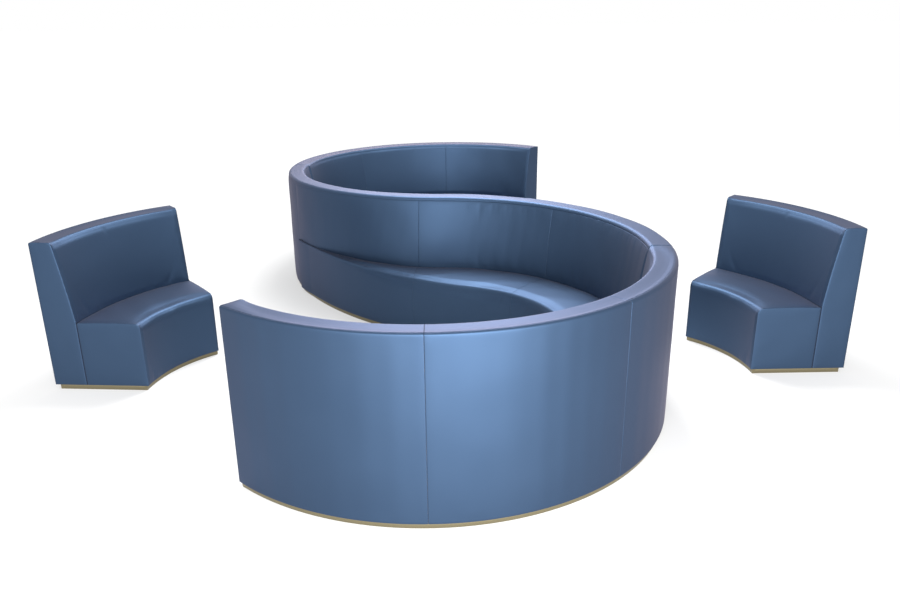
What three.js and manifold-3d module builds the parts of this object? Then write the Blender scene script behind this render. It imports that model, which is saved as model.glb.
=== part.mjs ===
// A curved banquette set: an S-shaped sofa in three modules that pull apart, and two loose
// curved seats. Lengths are in millimetres and angles in degrees, +Z is up, and the origin
// is on the floor in the middle of the whole set.

import * as THREE from 'three';
import { mergeVertices } from 'three/addons/utils/BufferGeometryUtils.js';
import Module from 'manifold-3d';

const wasm = await Module();
wasm.setup();

// Outside sizes. A bowl is a round of wall with a seat inside it, and the sofa has two,
// whose walls run into each other halfway along the S.
const sofaHeight = 960;
const seatHeight = 455;
const outerRadius = 1390;
const wholeDepth = 605;
const wallThick = 135;
const rake = 70;
const plinthHeight = 32;
const plinthRecess = 12;
const looseSeatBackRecess = 30;
const plinthEndRecess = 5;

// Where the modules start and end, as angles about the front bowl's centre. The back module
// is the front one turned half round.
const frontEndAngle = -130.7;
const jointAngle = -2.3;
const jointGap = 2;
const panelsInEndModule = 3;
const middleSeamTurns = [-46.2, 5.5];
const quarterTurn = 90;
const halfTurn = 180;

// In the middle module each seat narrows from the bend of the S and runs out at this angle
// past it, where it keeps only the width of its tip.
const taperTurn = 61;
const rakeFadeTurn = 40;
const tipWidth = 8;

// Loose seats: their arc, the places of their arc centres measured from the bend of the S,
// and the direction in which the middle of each back faces out
const looseArc = 47;
const leftCentreX = -1003;
const leftCentreY = -1335;
const leftFacing = 154.6;
const rightCentreX = 1259;
const rightCentreY = -1069;
const rightFacing = 26.2;

// Upholstery
const coverThick = 2.5;
const fitGap = 0.3;
const backFoamThick = 30;
const wallFoamThick = 20;
const capFoamThick = 12;
const fasciaFoamThick = 10;
const seatFoamThick = 72;
const capOuterRound = 12;
const capInnerRound = 24;
const seatFrontRound = 22;
const capSeamDrop = 26;
const backCrown = 8;
const seatCrown = 8;
const fullCrownWidth = 200;
const leastRound = 1.5;

// Carcasses, of bent and flat boards
const skinBoard = 9;
const frontBoard = 15;
const deckBoard = 18;
const ribBoard = 18;
const plinthBoard = 18;
const topRail = 30;
const leastBayWidth = 60;

// Steel plates with guide pins, and the plates with holes that take them, at each joint
const plateLength = 130;
const plateHeight = 60;
const plateThick = 3;
const plateRise = 200;
const pinSpacing = 84;
const pinRadius = 6;
const pinLength = 45;
const pinClearance = 0.5;
const holeInRibClearance = 2;

// How finely curved pieces are divided
const stepsInPanel = 5;
const stepsInMiddle = 22;
const stepsInLooseSeat = 6;
const baysInEndModule = 5;
const baysInWall = 8;
const baysInMiddleSeat = 5;
const baysInLooseSeat = 2;
const stepsInBay = 3;
const pinSides = 16;
const roundSteps = 2;
const crownSteps = 3;
const seamPlumpShare = 0.5;
const stepTurn = 0.05;
const leastStepShare = 0.25;
const overrun = 5;

// Heights and radii that follow from those sizes
const baseHeight = plinthHeight + fitGap;
const deckHeight = seatHeight - seatFoamThick;
const aboveDeck = deckHeight + fitGap;
const seatFrontRadius = outerRadius - wholeDepth;
const halfWall = wallThick / 2;
const lineRadius = outerRadius - halfWall;
const bowlSpacing = lineRadius * 2;
const frontCentre = new THREE.Vector2(0, -bowlSpacing / 2);
const backCentre = new THREE.Vector2(0, bowlSpacing / 2);
const middleTurn = quarterTurn - jointAngle;
const skin = coverThick + fitGap;

// Finishes
const finishes = {
  cover: new THREE.MeshStandardMaterial({ color: 0x4a6f99, roughness: 0.36, metalness: 0.35 }),
  foam: new THREE.MeshStandardMaterial({ color: 0xe6dcae, roughness: 0.95, metalness: 0 }),
  board: new THREE.MeshStandardMaterial({ color: 0xc7a574, roughness: 0.7, metalness: 0 }),
  plinth: new THREE.MeshStandardMaterial({ color: 0xb3a172, roughness: 0.4, metalness: 0.6 }),
  steel: new THREE.MeshStandardMaterial({ color: 0xa9adb2, roughness: 0.4, metalness: 1 }),
};

// A station is an upright plane across the sofa. It has a point of the wall's centre line,
// the level direction across it, towards the seat, in which an outline's first coordinate is
// measured, and the direction along it. It also holds what the pieces need to know there: how
// far out the seat's front and the back rest's foot lie on either side, and how plump it is.
function arcStation(centre, degrees, seatSide) {
  const angle = THREE.MathUtils.degToRad(degrees);
  const outwards = new THREE.Vector2(Math.cos(angle), Math.sin(angle));
  const around = new THREE.Vector2(-Math.sin(angle), Math.cos(angle));
  return {
    point: centre.clone().addScaledVector(outwards, lineRadius),
    across: outwards.multiplyScalar(-seatSide),
    along: around.multiplyScalar(seatSide),
    front: lineRadius - seatFrontRadius,
    rake,
    otherFront: halfWall,
    otherRake: 0,
    plump: 1,
    otherPlump: 1,
  };
}

function shifted(station, distance) {
  return { ...station, point: station.point.clone().addScaledVector(station.along, distance) };
}

// Upholstery is drawn in at the seams between panels, and plumpest halfway between them
function plumpAt(place, seams) {
  const last = Math.max(1, seams.findIndex((seam) => seam >= place));
  const share = (place - seams[last - 1]) / (seams[last] - seams[last - 1]);
  return seamPlumpShare + (1 - seamPlumpShare) * Math.sin(Math.PI * share);
}

// The stations of an arc of panels, with a small distance left free at either end
function arcStations(centre, fromAngle, toAngle, panels, stepsPerPanel, freeStart, freeEnd) {
  const steps = panels * stepsPerPanel;
  const seams = Array.from({ length: panels + 1 }, (_, i) => i * stepsPerPanel);
  const stations = Array.from({ length: steps + 1 }, (_, i) => ({
    ...arcStation(centre, fromAngle + (toAngle - fromAngle) * i / steps, 1),
    plump: plumpAt(i, seams),
  }));
  return trimmed(stations, freeStart, freeEnd);
}

function trimmed(stations, freeStart, freeEnd) {
  const kept = [...stations];
  kept[0] = shifted(kept[0], freeStart);
  kept[kept.length - 1] = shifted(kept[kept.length - 1], -freeEnd);
  return kept;
}

// The wide arc that carries on the front bowl's seat front in the middle module. It touches
// the round of the seat front, and the outer face of the back bowl at the end of the taper.
function wideArc() {
  const endAngle = THREE.MathUtils.degToRad(-quarterTurn - taperTurn);
  const reach = outerRadius + seatFrontRadius;
  const extra = (reach ** 2 - bowlSpacing ** 2) / (-2 * bowlSpacing * Math.sin(endAngle) - 2 * reach);
  const centre = new THREE.Vector2(-Math.cos(endAngle), -Math.sin(endAngle))
    .multiplyScalar(extra).add(backCentre);
  const towards = centre.clone().sub(frontCentre);
  const leaveAngle = THREE.MathUtils.radToDeg(Math.atan2(towards.y, towards.x));
  return { centre, radius: outerRadius + extra, leaveTurn: leaveAngle - quarterTurn };
}

const wide = wideArc();

function fadedRake(turn) {
  return rake * (1 - THREE.MathUtils.smoothstep(turn, 0, rakeFadeTurn));
}

// How far the seat's front lies from the wall's centre line at a turn past the bend
function seatFront(station, turn) {
  if (turn > taperTurn) {
    return halfWall;
  }
  if (turn <= wide.leaveTurn) {
    return lineRadius - seatFrontRadius;
  }
  const from = station.point.clone().sub(wide.centre);
  const run = from.dot(station.across);
  const toArc = -run + Math.sqrt(run ** 2 - from.lengthSq() + wide.radius ** 2);
  return Math.max(toArc, halfWall + fadedRake(turn) + tipWidth);
}

// A station of the middle module, at a turn past the bend of the S
function middleStation(turn) {
  const side = turn <= 0 ? 1 : -1;
  const centre = turn <= 0 ? frontCentre : backCentre;
  const station = arcStation(centre, turn <= 0 ? quarterTurn + turn : -quarterTurn - turn, side);
  return {
    ...station,
    turn,
    front: seatFront(station, turn),
    rake: fadedRake(turn),
    plump: plumpAt(turn, [-middleTurn, ...middleSeamTurns, middleTurn]),
  };
}

function twoSidedStation(turn) {
  const other = middleStation(-turn);
  return {
    ...middleStation(turn),
    otherFront: other.front,
    otherRake: other.rake,
    otherPlump: other.plump,
  };
}

// The turns of the middle module's stations: even steps, one at each seam, and a close pair
// where a seat ends. They are the same from either side.
function middleTurns() {
  const onOneSide = [...middleSeamTurns, taperTurn, taperTurn + stepTurn];
  const fixed = onOneSide.flatMap((turn) => [turn, -turn]);
  const step = middleTurn * 2 / stepsInMiddle;
  const even = Array.from({ length: stepsInMiddle + 1 }, (_, i) => i * step - middleTurn);
  const isFree = (turn) => fixed.every((other) => Math.abs(turn - other) > step * leastStepShare);
  return [...even.filter(isFree), ...fixed].sort((a, b) => a - b);
}

// Which of two outline points comes first across, or lower where they are level. Faces are
// split by it, so two surfaces that lie close together are split alike.
function isBefore([u, z], [otherU, otherZ]) {
  return Math.abs(u - otherU) > fitGap / 2 ? u < otherU : z < otherZ;
}

// The solid through one outline of [across, up] points at each station
function sweep(stations, outlineAt) {
  const outlines = stations.map(outlineAt);
  const count = outlines[0].length;
  const positions = [];
  stations.forEach(({ point, across }, i) => {
    for (const [u, z] of outlines[i]) {
      positions.push(point.x + u * across.x, point.y + u * across.y, z);
    }
  });
  const index = [];
  for (let i = 0; i + 1 < stations.length; i += 1) {
    for (let k = 0; k < count; k += 1) {
      const next = (k + 1) % count;
      const a = i * count + k;
      const b = i * count + next;
      const face = isBefore(outlines[i][k], outlines[i][next])
        ? [a, b, b + count, a, b + count, a + count]
        : [a, b, a + count, b, b + count, a + count];
      index.push(...face);
    }
  }
  index.push(...capFaces(outlines[0]).map(([a, b, c]) => [a, c, b]).flat());
  const last = (stations.length - 1) * count;
  index.push(...capFaces(outlines.at(-1)).flat().map((corner) => corner + last));
  const geometry = new THREE.BufferGeometry();
  geometry.setAttribute('position', new THREE.Float32BufferAttribute(positions, 3));
  geometry.setIndex(index);
  return facingOut(geometry);
}

// Triangles that fill an outline and turn the same way as it does
function capFaces(outline) {
  const points = outline.map(([u, z]) => new THREE.Vector2(u, z));
  const turnsLeft = THREE.ShapeUtils.area(points) > 0;
  return THREE.ShapeUtils.triangulateShape(points, []).map((face) => {
    const faceTurnsLeft = THREE.ShapeUtils.area(face.map((corner) => points[corner])) > 0;
    return faceTurnsLeft === turnsLeft ? face : [face[0], face[2], face[1]];
  });
}

function facingOut(geometry) {
  const position = geometry.attributes.position;
  const corners = geometry.index.array;
  const [a, b, c] = [new THREE.Vector3(), new THREE.Vector3(), new THREE.Vector3()];
  let volume = 0;
  for (let i = 0; i < corners.length; i += 3) {
    a.fromBufferAttribute(position, corners[i]);
    b.fromBufferAttribute(position, corners[i + 1]);
    c.fromBufferAttribute(position, corners[i + 2]);
    volume += a.dot(b.cross(c));
  }
  if (volume < 0) {
    geometry.setIndex(Array.from(corners).reverse());
  }
  return geometry;
}

// Between a geometry and a solid that can be cut
function toSolid(geometry) {
  const bare = geometry.clone();
  bare.deleteAttribute('normal');
  bare.deleteAttribute('uv');
  const merged = mergeVertices(bare);
  return new wasm.Manifold(new wasm.Mesh({
    numProp: 3,
    vertProperties: Float32Array.from(merged.attributes.position.array),
    triVerts: Uint32Array.from(merged.index.array),
  }));
}

function toGeometry(solid) {
  const mesh = solid.getMesh();
  const geometry = new THREE.BufferGeometry();
  geometry.setAttribute('position', new THREE.BufferAttribute(mesh.vertProperties, 3));
  geometry.setIndex(new THREE.BufferAttribute(mesh.triVerts, 1));
  return geometry;
}

function cut(geometry, cutters) {
  const rest = cutters.reduce((solid, cutter) => solid.subtract(toSolid(cutter)), toSolid(geometry));
  return toGeometry(rest);
}

// Points of a quarter round, from one direction to another, about a centre
function roundPoints(u, z, radius, fromDegrees, toDegrees) {
  return Array.from({ length: roundSteps + 1 }, (_, i) => {
    const angle = THREE.MathUtils.degToRad(fromDegrees + (toDegrees - fromDegrees) * i / roundSteps);
    return [u + radius * Math.cos(angle), z + radius * Math.sin(angle)];
  });
}

// The back rest's face on the seat's side: upright at the foot, and leaning from the seat up
function leanShare(z) {
  return Math.min(1, (sofaHeight - z) / (sofaHeight - seatHeight));
}

function flatFace(rakeHere, z) {
  return halfWall + rakeHere * leanShare(z);
}

function crownedFace(station, z) {
  const bulge = Math.sin(Math.PI * leanShare(z)) * station.plump;
  return flatFace(station.rake, z) + backCrown * bulge * station.rake / rake;
}

// Points down that face from under the cap's round to a foot, set in by a depth
function facePoints(station, depth, footHeight) {
  const top = sofaHeight - Math.max(capInnerRound, depth + leastRound);
  const leaning = Array.from({ length: crownSteps },
    (_, i) => top + (seatHeight - top) * (i + 1) / crownSteps);
  return [...leaning, footHeight].map((z) => [crownedFace(station, z) - depth, z]);
}

function innerRoundPoints(station, depth) {
  const radius = Math.max(capInnerRound - depth, leastRound);
  const top = sofaHeight - depth;
  const face = crownedFace(station, top - radius) - depth;
  return roundPoints(face - radius, top - radius, radius, quarterTurn, 0);
}

function outerRoundPoints(depth) {
  const radius = Math.max(capOuterRound - depth, leastRound);
  return roundPoints(depth + radius - halfWall, sofaHeight - depth - radius, radius, halfTurn, quarterTurn);
}

// The back rest from the seam at its outer edge, over the cap and down to the deck
function backRestLine(station, depth) {
  return [...outerRoundPoints(depth), ...innerRoundPoints(station, depth),
    ...facePoints(station, depth, aboveDeck)];
}

function strip(outside, inside) {
  return [...outside, ...inside.reverse()];
}

function backCover(stations) {
  return sweep(stations, (station) => strip(backRestLine(station, 0), backRestLine(station, coverThick)));
}

// Where the carcass of the back rest ends under its foam
function backFrameTop() {
  return sofaHeight - skin - capFoamThick - fitGap;
}

function frameFace(rakeHere, foam, z) {
  return flatFace(rakeHere, z) - skin - foam - fitGap;
}

function backFoam(stations) {
  const top = backFrameTop() + fitGap;
  return sweep(stations, (station) => {
    const face = (z) => frameFace(station.rake, backFoamThick, z) + fitGap;
    const behind = [[skin - halfWall, top], [face(top), top], [face(seatHeight), seatHeight],
      [face(aboveDeck), aboveDeck]];
    return strip(backRestLine(station, skin), behind);
  });
}

// The carcass of the back rest, open below, with a rib between every two bays
function backFrameOutline(station, inset, foot) {
  const top = backFrameTop() - (inset > 0 ? topRail : 0);
  const face = (z) => frameFace(station.rake, backFoamThick, z) - inset;
  const outer = skin + inset - halfWall;
  return [[outer, foot], [outer, top], [face(top), top], [face(seatHeight), seatHeight],
    [face(foot), foot]];
}

function bays(stations, count) {
  const steps = (stations.length - 1) / count;
  return Array.from({ length: count }, (_, i) => {
    const start = i === 0 ? ribBoard : ribBoard / 2;
    const end = i === count - 1 ? ribBoard : ribBoard / 2;
    return trimmed(stations.slice(i * steps, (i + 1) * steps + 1), start, end);
  });
}

function backFrame(stations, bayStations) {
  const below = baseHeight - overrun;
  const outline = (inset, foot) => (station) => backFrameOutline(station, inset, foot);
  const hollows = bayStations.map((bay) => sweep(bay, outline(skinBoard, below)));
  return cut(sweep(stations, outline(0, baseHeight)), hollows);
}

function outerPanel(stations) {
  const top = sofaHeight - capOuterRound - fitGap;
  return sweep(stations, () => [[-halfWall, baseHeight], [coverThick - halfWall, baseHeight],
    [coverThick - halfWall, top], [-halfWall, top]]);
}

// The seat from the foot of the back rest over its crown, round the front edge and down
function seatLine(station, depth) {
  const back = crownedFace(station, seatHeight) + fitGap;
  const width = station.front - back;
  const radius = Math.max(Math.min(seatFrontRound, width / 2) - depth, leastRound / 2);
  const crown = seatCrown * Math.min(1, width / fullCrownWidth);
  const front = Math.max(station.front - depth, back + leastRound);
  const edge = front - radius;
  const top = Array.from({ length: crownSteps + 1 }, (_, i) => {
    const share = i / crownSteps;
    const fall = crown * (2 * share - 1) ** 2 + crown * (1 - station.plump) * 4 * share * (1 - share);
    return [back + (edge - back) * share, seatHeight - fall - depth];
  });
  const round = roundPoints(edge, seatHeight - crown - depth - radius, radius, quarterTurn, 0);
  return [...top, ...round.slice(1), [front, baseHeight]];
}

function seatCover(stations) {
  return sweep(stations, (station) => strip(seatLine(station, 0), seatLine(station, coverThick)));
}

function seatFoam(stations) {
  return sweep(stations, (station) => {
    const back = crownedFace(station, seatHeight) + fitGap;
    const front = Math.max(station.front - skin - fasciaFoamThick, back + leastRound / 2);
    return strip(seatLine(station, skin), [[back, aboveDeck], [front, aboveDeck], [front, baseHeight]]);
  });
}

// The seat's carcass: a curved front, a deck and ribs, open below
function seatFrameOutline(station, foam, inset, foot) {
  const back = frameFace(station.rake, foam, baseHeight) + fitGap + inset;
  const front = station.front - skin - fasciaFoamThick - fitGap - (inset > 0 ? frontBoard : 0);
  const top = deckHeight - (inset > 0 ? deckBoard : 0);
  return [[back, foot], [front, foot], [front, top], [back, top]];
}

function seatFrame(stations, bayStations, foam, fittings) {
  const below = baseHeight - overrun;
  const outline = (inset, foot) => (station) => seatFrameOutline(station, foam, inset, foot);
  const hollows = bayStations.map((bay) => sweep(bay, outline(skinBoard, below)));
  return cut(sweep(stations, outline(0, baseHeight)), [...hollows, ...fittings]);
}

// The plinth: boards on edge with crosspieces, right through from top to floor
function plinthOutline(station, otherRecess, inset, overlap) {
  const front = station.front - plinthRecess - inset;
  const other = otherRecess + inset - station.otherFront;
  const top = plinthHeight + overlap;
  return [[other, -overlap], [front, -overlap], [front, top], [other, top]];
}

function plinth(stations, bayStations, otherRecess) {
  const outline = (inset, overlap) => (station) => plinthOutline(station, otherRecess, inset, overlap);
  const hollows = bayStations.map((bay) => sweep(bay, outline(plinthBoard, overrun)));
  return cut(sweep(stations, outline(0, 0)), hollows);
}

// The cover of a free end: the whole outline of back rest and seat, one cover thick
function endPanel(station) {
  const back = backRestLine(station, 0).slice(0, -1);
  const outline = [[-halfWall, baseHeight], ...back, ...seatLine(station, 0).slice(1)];
  return sweep([station, shifted(station, coverThick)], () => outline);
}

// Joint fittings, made along X and stood at a station: the seat's middle, at a set height
function atJoint(geometry, station) {
  const { point, across, along } = station;
  const middle = (frameFace(rake, backFoamThick, baseHeight) + station.front) / 2;
  const place = new THREE.Matrix4().makeBasis(
    new THREE.Vector3(along.x, along.y, 0),
    new THREE.Vector3(across.x, across.y, 0),
    new THREE.Vector3(0, 0, 1),
  );
  place.setPosition(point.x + middle * across.x, point.y + middle * across.y, plateRise);
  return geometry.applyMatrix4(place);
}

function plateBlank(from, to, margin) {
  const blank = new THREE.BoxGeometry(to - from, plateLength + 2 * margin, plateHeight + 2 * margin);
  return blank.translate((from + to) / 2, 0, 0);
}

function pinBlanks(radius, from, to) {
  return [-1, 1].map((side) => new THREE.CylinderGeometry(radius, radius, to - from, pinSides)
    .rotateZ(THREE.MathUtils.degToRad(quarterTurn))
    .translate((from + to) / 2, side * pinSpacing / 2, 0));
}

// The plate with pins, let in flush with the end of the seat's carcass
function pinPlate(station) {
  const tip = jointGap + pinLength;
  const pins = pinBlanks(pinRadius, -plateThick / 2, tip).map(toSolid);
  const whole = pins.reduce((solid, pin) => solid.add(pin), toSolid(plateBlank(-plateThick, 0, 0)));
  return atJoint(toGeometry(whole), station);
}

function pinPlateRecess(station) {
  return atJoint(plateBlank(-plateThick - fitGap, overrun, fitGap), station);
}

// The plate with holes, let in flush with the end that the pins push into
function holePlate(station) {
  const holes = pinBlanks(pinRadius + pinClearance, -overrun, plateThick + overrun);
  return atJoint(cut(plateBlank(0, plateThick, 0), holes), station);
}

function holePlateRecess(station) {
  const holes = pinBlanks(pinRadius + holeInRibClearance, -overrun, pinLength + overrun);
  const cutters = [plateBlank(-overrun, plateThick + fitGap, fitGap), ...holes];
  return cutters.map((cutter) => atJoint(cutter, station));
}

// The two faces of the middle wall: foam and cover from the cap to the deck, or to the
// plinth where no seat stands in front, and the cap that joins them
function wallFoot(station) {
  return station.turn > taperTurn ? baseHeight : aboveDeck;
}

function wallCover(stations) {
  const line = (station, depth) => {
    const seam = sofaHeight - capSeamDrop - fitGap;
    return [[crownedFace(station, seam) - depth, seam], ...facePoints(station, depth, wallFoot(station))];
  };
  return sweep(stations, (station) => strip(line(station, 0), line(station, coverThick)));
}

function wallFoam(stations) {
  const top = backFrameTop() + fitGap;
  return sweep(stations, (station) => {
    const face = (z) => frameFace(station.rake, wallFoamThick, z) + fitGap;
    const foot = wallFoot(station);
    const outside = [[fitGap / 2, sofaHeight - skin], ...innerRoundPoints(station, skin),
      ...facePoints(station, skin, foot)];
    const behind = [[fitGap / 2, top], [face(top), top], [face(seatHeight), seatHeight],
      [face(foot), foot]];
    return strip(outside, behind);
  });
}

function wallCap(stations) {
  const seam = sofaHeight - capSeamDrop;
  const half = (station, depth) => [...innerRoundPoints(station, depth),
    [crownedFace(station, seam) - depth, seam]];
  const mirrored = (points) => points.map(([u, z]) => [-u, z]).reverse();
  const line = (station, depth) => {
    const other = { ...station, rake: station.otherRake, plump: station.otherPlump };
    return [...mirrored(half(other, depth)), ...half(station, depth)];
  };
  return sweep(stations, (station) => strip(line(station, 0), line(station, coverThick)));
}

function wallFrameOutline(station, inset, foot) {
  const top = backFrameTop() - (inset > 0 ? topRail : 0);
  const face = (rakeHere, z) => frameFace(rakeHere, wallFoamThick, z) - inset;
  const side = (rakeHere) => [[face(rakeHere, top), top], [face(rakeHere, seatHeight), seatHeight],
    [face(rakeHere, foot), foot]];
  const other = side(station.otherRake).map(([u, z]) => [-u, z]).reverse();
  return [...other, ...side(station.rake)];
}

function wallFrame(stations, bayStations) {
  const below = baseHeight - overrun;
  const outline = (inset, foot) => (station) => wallFrameOutline(station, inset, foot);
  const hollows = bayStations.map((bay) => sweep(bay, outline(skinBoard, below)));
  return cut(sweep(stations, outline(0, baseHeight)), hollows);
}

// Even bays between two turns of the middle module
function middleBays(fromTurn, toTurn, count) {
  const step = (toTurn - fromTurn) / (count * stepsInBay);
  const stations = Array.from({ length: count * stepsInBay + 1 },
    (_, i) => twoSidedStation(fromTurn + i * step));
  return bays(stations, count);
}

// The turn up to which a middle seat is wide enough for a hollow carcass
function lastBayTurn() {
  const turns = middleTurns().filter((turn) => {
    const [back, front] = seatFrameOutline(middleStation(turn), wallFoamThick, skinBoard, 0);
    return front[0] - back[0] > leastBayWidth;
  });
  return Math.max(...turns);
}

function named(name, geometry, finish) {
  const mesh = new THREE.Mesh(geometry, finish);
  mesh.name = name;
  return mesh;
}

// What an end module and a loose seat have alike: seat and back rest on one arc
function arcPieces(prefix, stations, bayStations, fittings) {
  const group = new THREE.Group();
  group.add(
    named(`${prefix}_seat_frame`,
      seatFrame(stations, bayStations, backFoamThick, fittings), finishes.board),
    named(`${prefix}_back_frame`, backFrame(stations, bayStations), finishes.board),
    named(`${prefix}_seat_foam`, seatFoam(stations), finishes.foam),
    named(`${prefix}_back_foam`, backFoam(stations), finishes.foam),
    named(`${prefix}_seat_cover`, seatCover(stations), finishes.cover),
    named(`${prefix}_back_cover`, backCover(stations), finishes.cover),
  );
  return group;
}

// An end module: three panels of arc from its free end to the joint
function endModule(prefix) {
  const arc = (freeStart, freeEnd) => arcStations(frontCentre, frontEndAngle, jointAngle,
    panelsInEndModule, stepsInPanel, freeStart, freeEnd);
  const stations = arc(skin, jointGap / 2);
  const joint = stations.at(-1);
  const plinthStations = arc(plinthEndRecess, jointGap / 2);
  const plinthBays = bays(plinthStations, baysInEndModule);
  const group = arcPieces(prefix, stations, bays(stations, baysInEndModule), [pinPlateRecess(joint)]);
  for (let i = 0; i < panelsInEndModule; i += 1) {
    const panel = stations.slice(i * stepsInPanel, (i + 1) * stepsInPanel + 1);
    const free = (side) => (side ? fitGap / 2 : 0);
    const kept = trimmed(panel, free(i > 0), free(i < panelsInEndModule - 1));
    group.add(named(`${prefix}_outer_panel_${i + 1}`, outerPanel(kept), finishes.cover));
  }
  group.add(
    named(`${prefix}_plinth`, plinth(plinthStations, plinthBays, plinthRecess), finishes.plinth),
    named(`${prefix}_end_panel`, endPanel(arc(0, 0)[0]), finishes.cover),
    named(`${prefix}_joint_pins`, pinPlate(joint), finishes.steel),
  );
  return group;
}

// A loose seat: one short arc about its own centre, with a cover at each end
function looseSeat(prefix, centreX, centreY, facing) {
  const middle = new THREE.Vector2(0, 0);
  const arc = (free) => arcStations(middle, -looseArc / 2, looseArc / 2, 1, stepsInLooseSeat,
    free, free);
  const stations = arc(skin);
  const plinthStations = arc(plinthEndRecess);
  const plinthBays = bays(plinthStations, baysInLooseSeat);
  const group = arcPieces(prefix, stations, bays(stations, baysInLooseSeat), []);
  const ends = arc(0);
  const farEnd = shifted(ends.at(-1), -coverThick);
  group.add(
    named(`${prefix}_plinth`, plinth(plinthStations, plinthBays, looseSeatBackRecess),
      finishes.plinth),
    named(`${prefix}_outer_panel`, outerPanel(stations), finishes.cover),
    named(`${prefix}_end_panel_1`, endPanel(ends[0]), finishes.cover),
    named(`${prefix}_end_panel_2`, endPanel(farEnd), finishes.cover),
  );
  group.position.set(centreX, centreY, 0);
  group.rotation.z = THREE.MathUtils.degToRad(facing);
  return group;
}

// One side of the middle module: its seat, and the face of the wall above and beyond it
function middleSide(side, joined) {
  const turns = middleTurns();
  const stations = trimmed(turns.map(middleStation), jointGap / 2, jointGap / 2);
  const seated = stations.filter((station) => station.turn <= taperTurn);
  const hollows = middleBays(-middleTurn, lastBayTurn(), baysInMiddleSeat);
  const joint = stations[0];
  const group = new THREE.Group();
  group.add(
    named(`middle_seat_frame_${side}`,
      seatFrame(seated, hollows, wallFoamThick, holePlateRecess(joint)), finishes.board),
    named(`middle_seat_foam_${side}`, seatFoam(seated), finishes.foam),
    named(`middle_wall_foam_${side}`, wallFoam(stations), finishes.foam),
    named(`middle_seat_cover_${side}`, seatCover(seated), finishes.cover),
    named(`middle_wall_cover_${side}`, wallCover(stations), finishes.cover),
    named(`middle_joint_plate_${joined}`, holePlate(joint), finishes.steel),
  );
  return group;
}

function middleModule() {
  const stations = trimmed(middleTurns().map(twoSidedStation), jointGap / 2, jointGap / 2);
  const hollows = middleBays(-middleTurn, middleTurn, baysInWall);
  const otherSide = middleSide('b', 'back');
  otherSide.rotation.z = Math.PI;
  const group = new THREE.Group();
  group.add(
    named('middle_plinth', plinth(stations, hollows, plinthRecess), finishes.plinth),
    named('middle_wall_frame', wallFrame(stations, hollows), finishes.board),
    named('middle_wall_cap', wallCap(stations), finishes.cover),
    middleSide('a', 'front'),
    otherSide,
  );
  return group;
}

// The set, moved so that its footprint is centred on the origin
function banquetteSet() {
  const backModule = endModule('back');
  backModule.rotation.z = Math.PI;
  const set = new THREE.Group();
  set.add(
    endModule('front'),
    middleModule(),
    backModule,
    looseSeat('left_seat', leftCentreX, leftCentreY, leftFacing),
    looseSeat('right_seat', rightCentreX, rightCentreY, rightFacing),
  );
  const box = new THREE.Box3().setFromObject(set, true);
  const middle = box.getCenter(new THREE.Vector3());
  set.position.set(-middle.x, -middle.y, 0);
  const whole = new THREE.Group();
  whole.add(set);
  return whole;
}

export default banquetteSet();
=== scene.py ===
import math

import bmesh
import bpy
import numpy as np
from mathutils import Matrix, Vector


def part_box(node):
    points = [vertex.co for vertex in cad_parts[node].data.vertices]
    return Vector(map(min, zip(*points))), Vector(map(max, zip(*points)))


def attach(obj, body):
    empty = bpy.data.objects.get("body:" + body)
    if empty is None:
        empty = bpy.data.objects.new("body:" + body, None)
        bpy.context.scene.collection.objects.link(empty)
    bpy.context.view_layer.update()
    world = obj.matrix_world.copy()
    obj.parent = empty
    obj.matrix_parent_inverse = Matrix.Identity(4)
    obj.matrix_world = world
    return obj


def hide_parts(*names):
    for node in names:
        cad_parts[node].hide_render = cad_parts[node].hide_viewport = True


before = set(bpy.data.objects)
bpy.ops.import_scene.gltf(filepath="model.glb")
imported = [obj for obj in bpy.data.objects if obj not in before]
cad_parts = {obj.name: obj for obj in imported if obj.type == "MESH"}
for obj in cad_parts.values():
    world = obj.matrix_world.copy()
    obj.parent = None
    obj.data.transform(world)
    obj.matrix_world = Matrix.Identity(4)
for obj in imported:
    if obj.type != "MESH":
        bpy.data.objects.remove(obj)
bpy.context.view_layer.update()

# Plinths: rings of plywood board on edge with crosspieces, faced with a champagne gold
# laminate and set back under the upholstery. Each is glued up first, and its module stands
# on it. Lengths are in metres, and the origin of the banquette's lines is the bend of its S.
outer_radius = 1.390
whole_depth = 0.605
wall_thick = 0.135
rake = 0.070
plinth_height = 0.032
plinth_recess = 0.012
loose_back_recess = 0.030
plinth_end_recess = 0.005
board_thick = 0.018
board_edge_round = 0.0008
front_end_angle = -130.7
joint_angle = -2.3
joint_gap = 0.002
end_bays = 5
middle_bays = 8
loose_bays = 2
middle_seam_turns = (-39.8, 6.2)
taper_turn = 61.0
rake_fade_turn = 40.0
tip_width = 0.008
loose_arc = 47.0
end_modules = {
    "front": {"body": "front_module", "centre": (0.0, 0.0), "facing": 0},
    "back": {"body": "back_module", "centre": (0.0, 0.0), "facing": 180},
}
loose_seats = {
    "left_seat": {"body": "left_seat", "centre": (-1.003, -1.335), "facing": 154.6},
    "right_seat": {"body": "right_seat", "centre": (1.259, -1.069), "facing": 26.2},
}
seam_plump_share = 0.5
seat_front_radius = outer_radius - whole_depth
half_wall = wall_thick / 2
line_radius = outer_radius - half_wall
bowl_spacing = line_radius * 2
front_centre = np.array((0.0, -line_radius))
back_centre = np.array((0.0, line_radius))
middle_turn = 90 - joint_angle
end_length = math.radians(joint_angle - front_end_angle) * line_radius
loose_length = math.radians(loose_arc) * line_radius
middle_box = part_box("middle_plinth")
bend = np.array(((middle_box[0] + middle_box[1]) / 2)[:2])
trim_fade = 0.060
board_step = 0.020
close_spacing = np.array((0, 0.4, 1, 1.8, 2.8, 4, 5.5, 7.5, 10, 14, 19, 26)) / 1000


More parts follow.
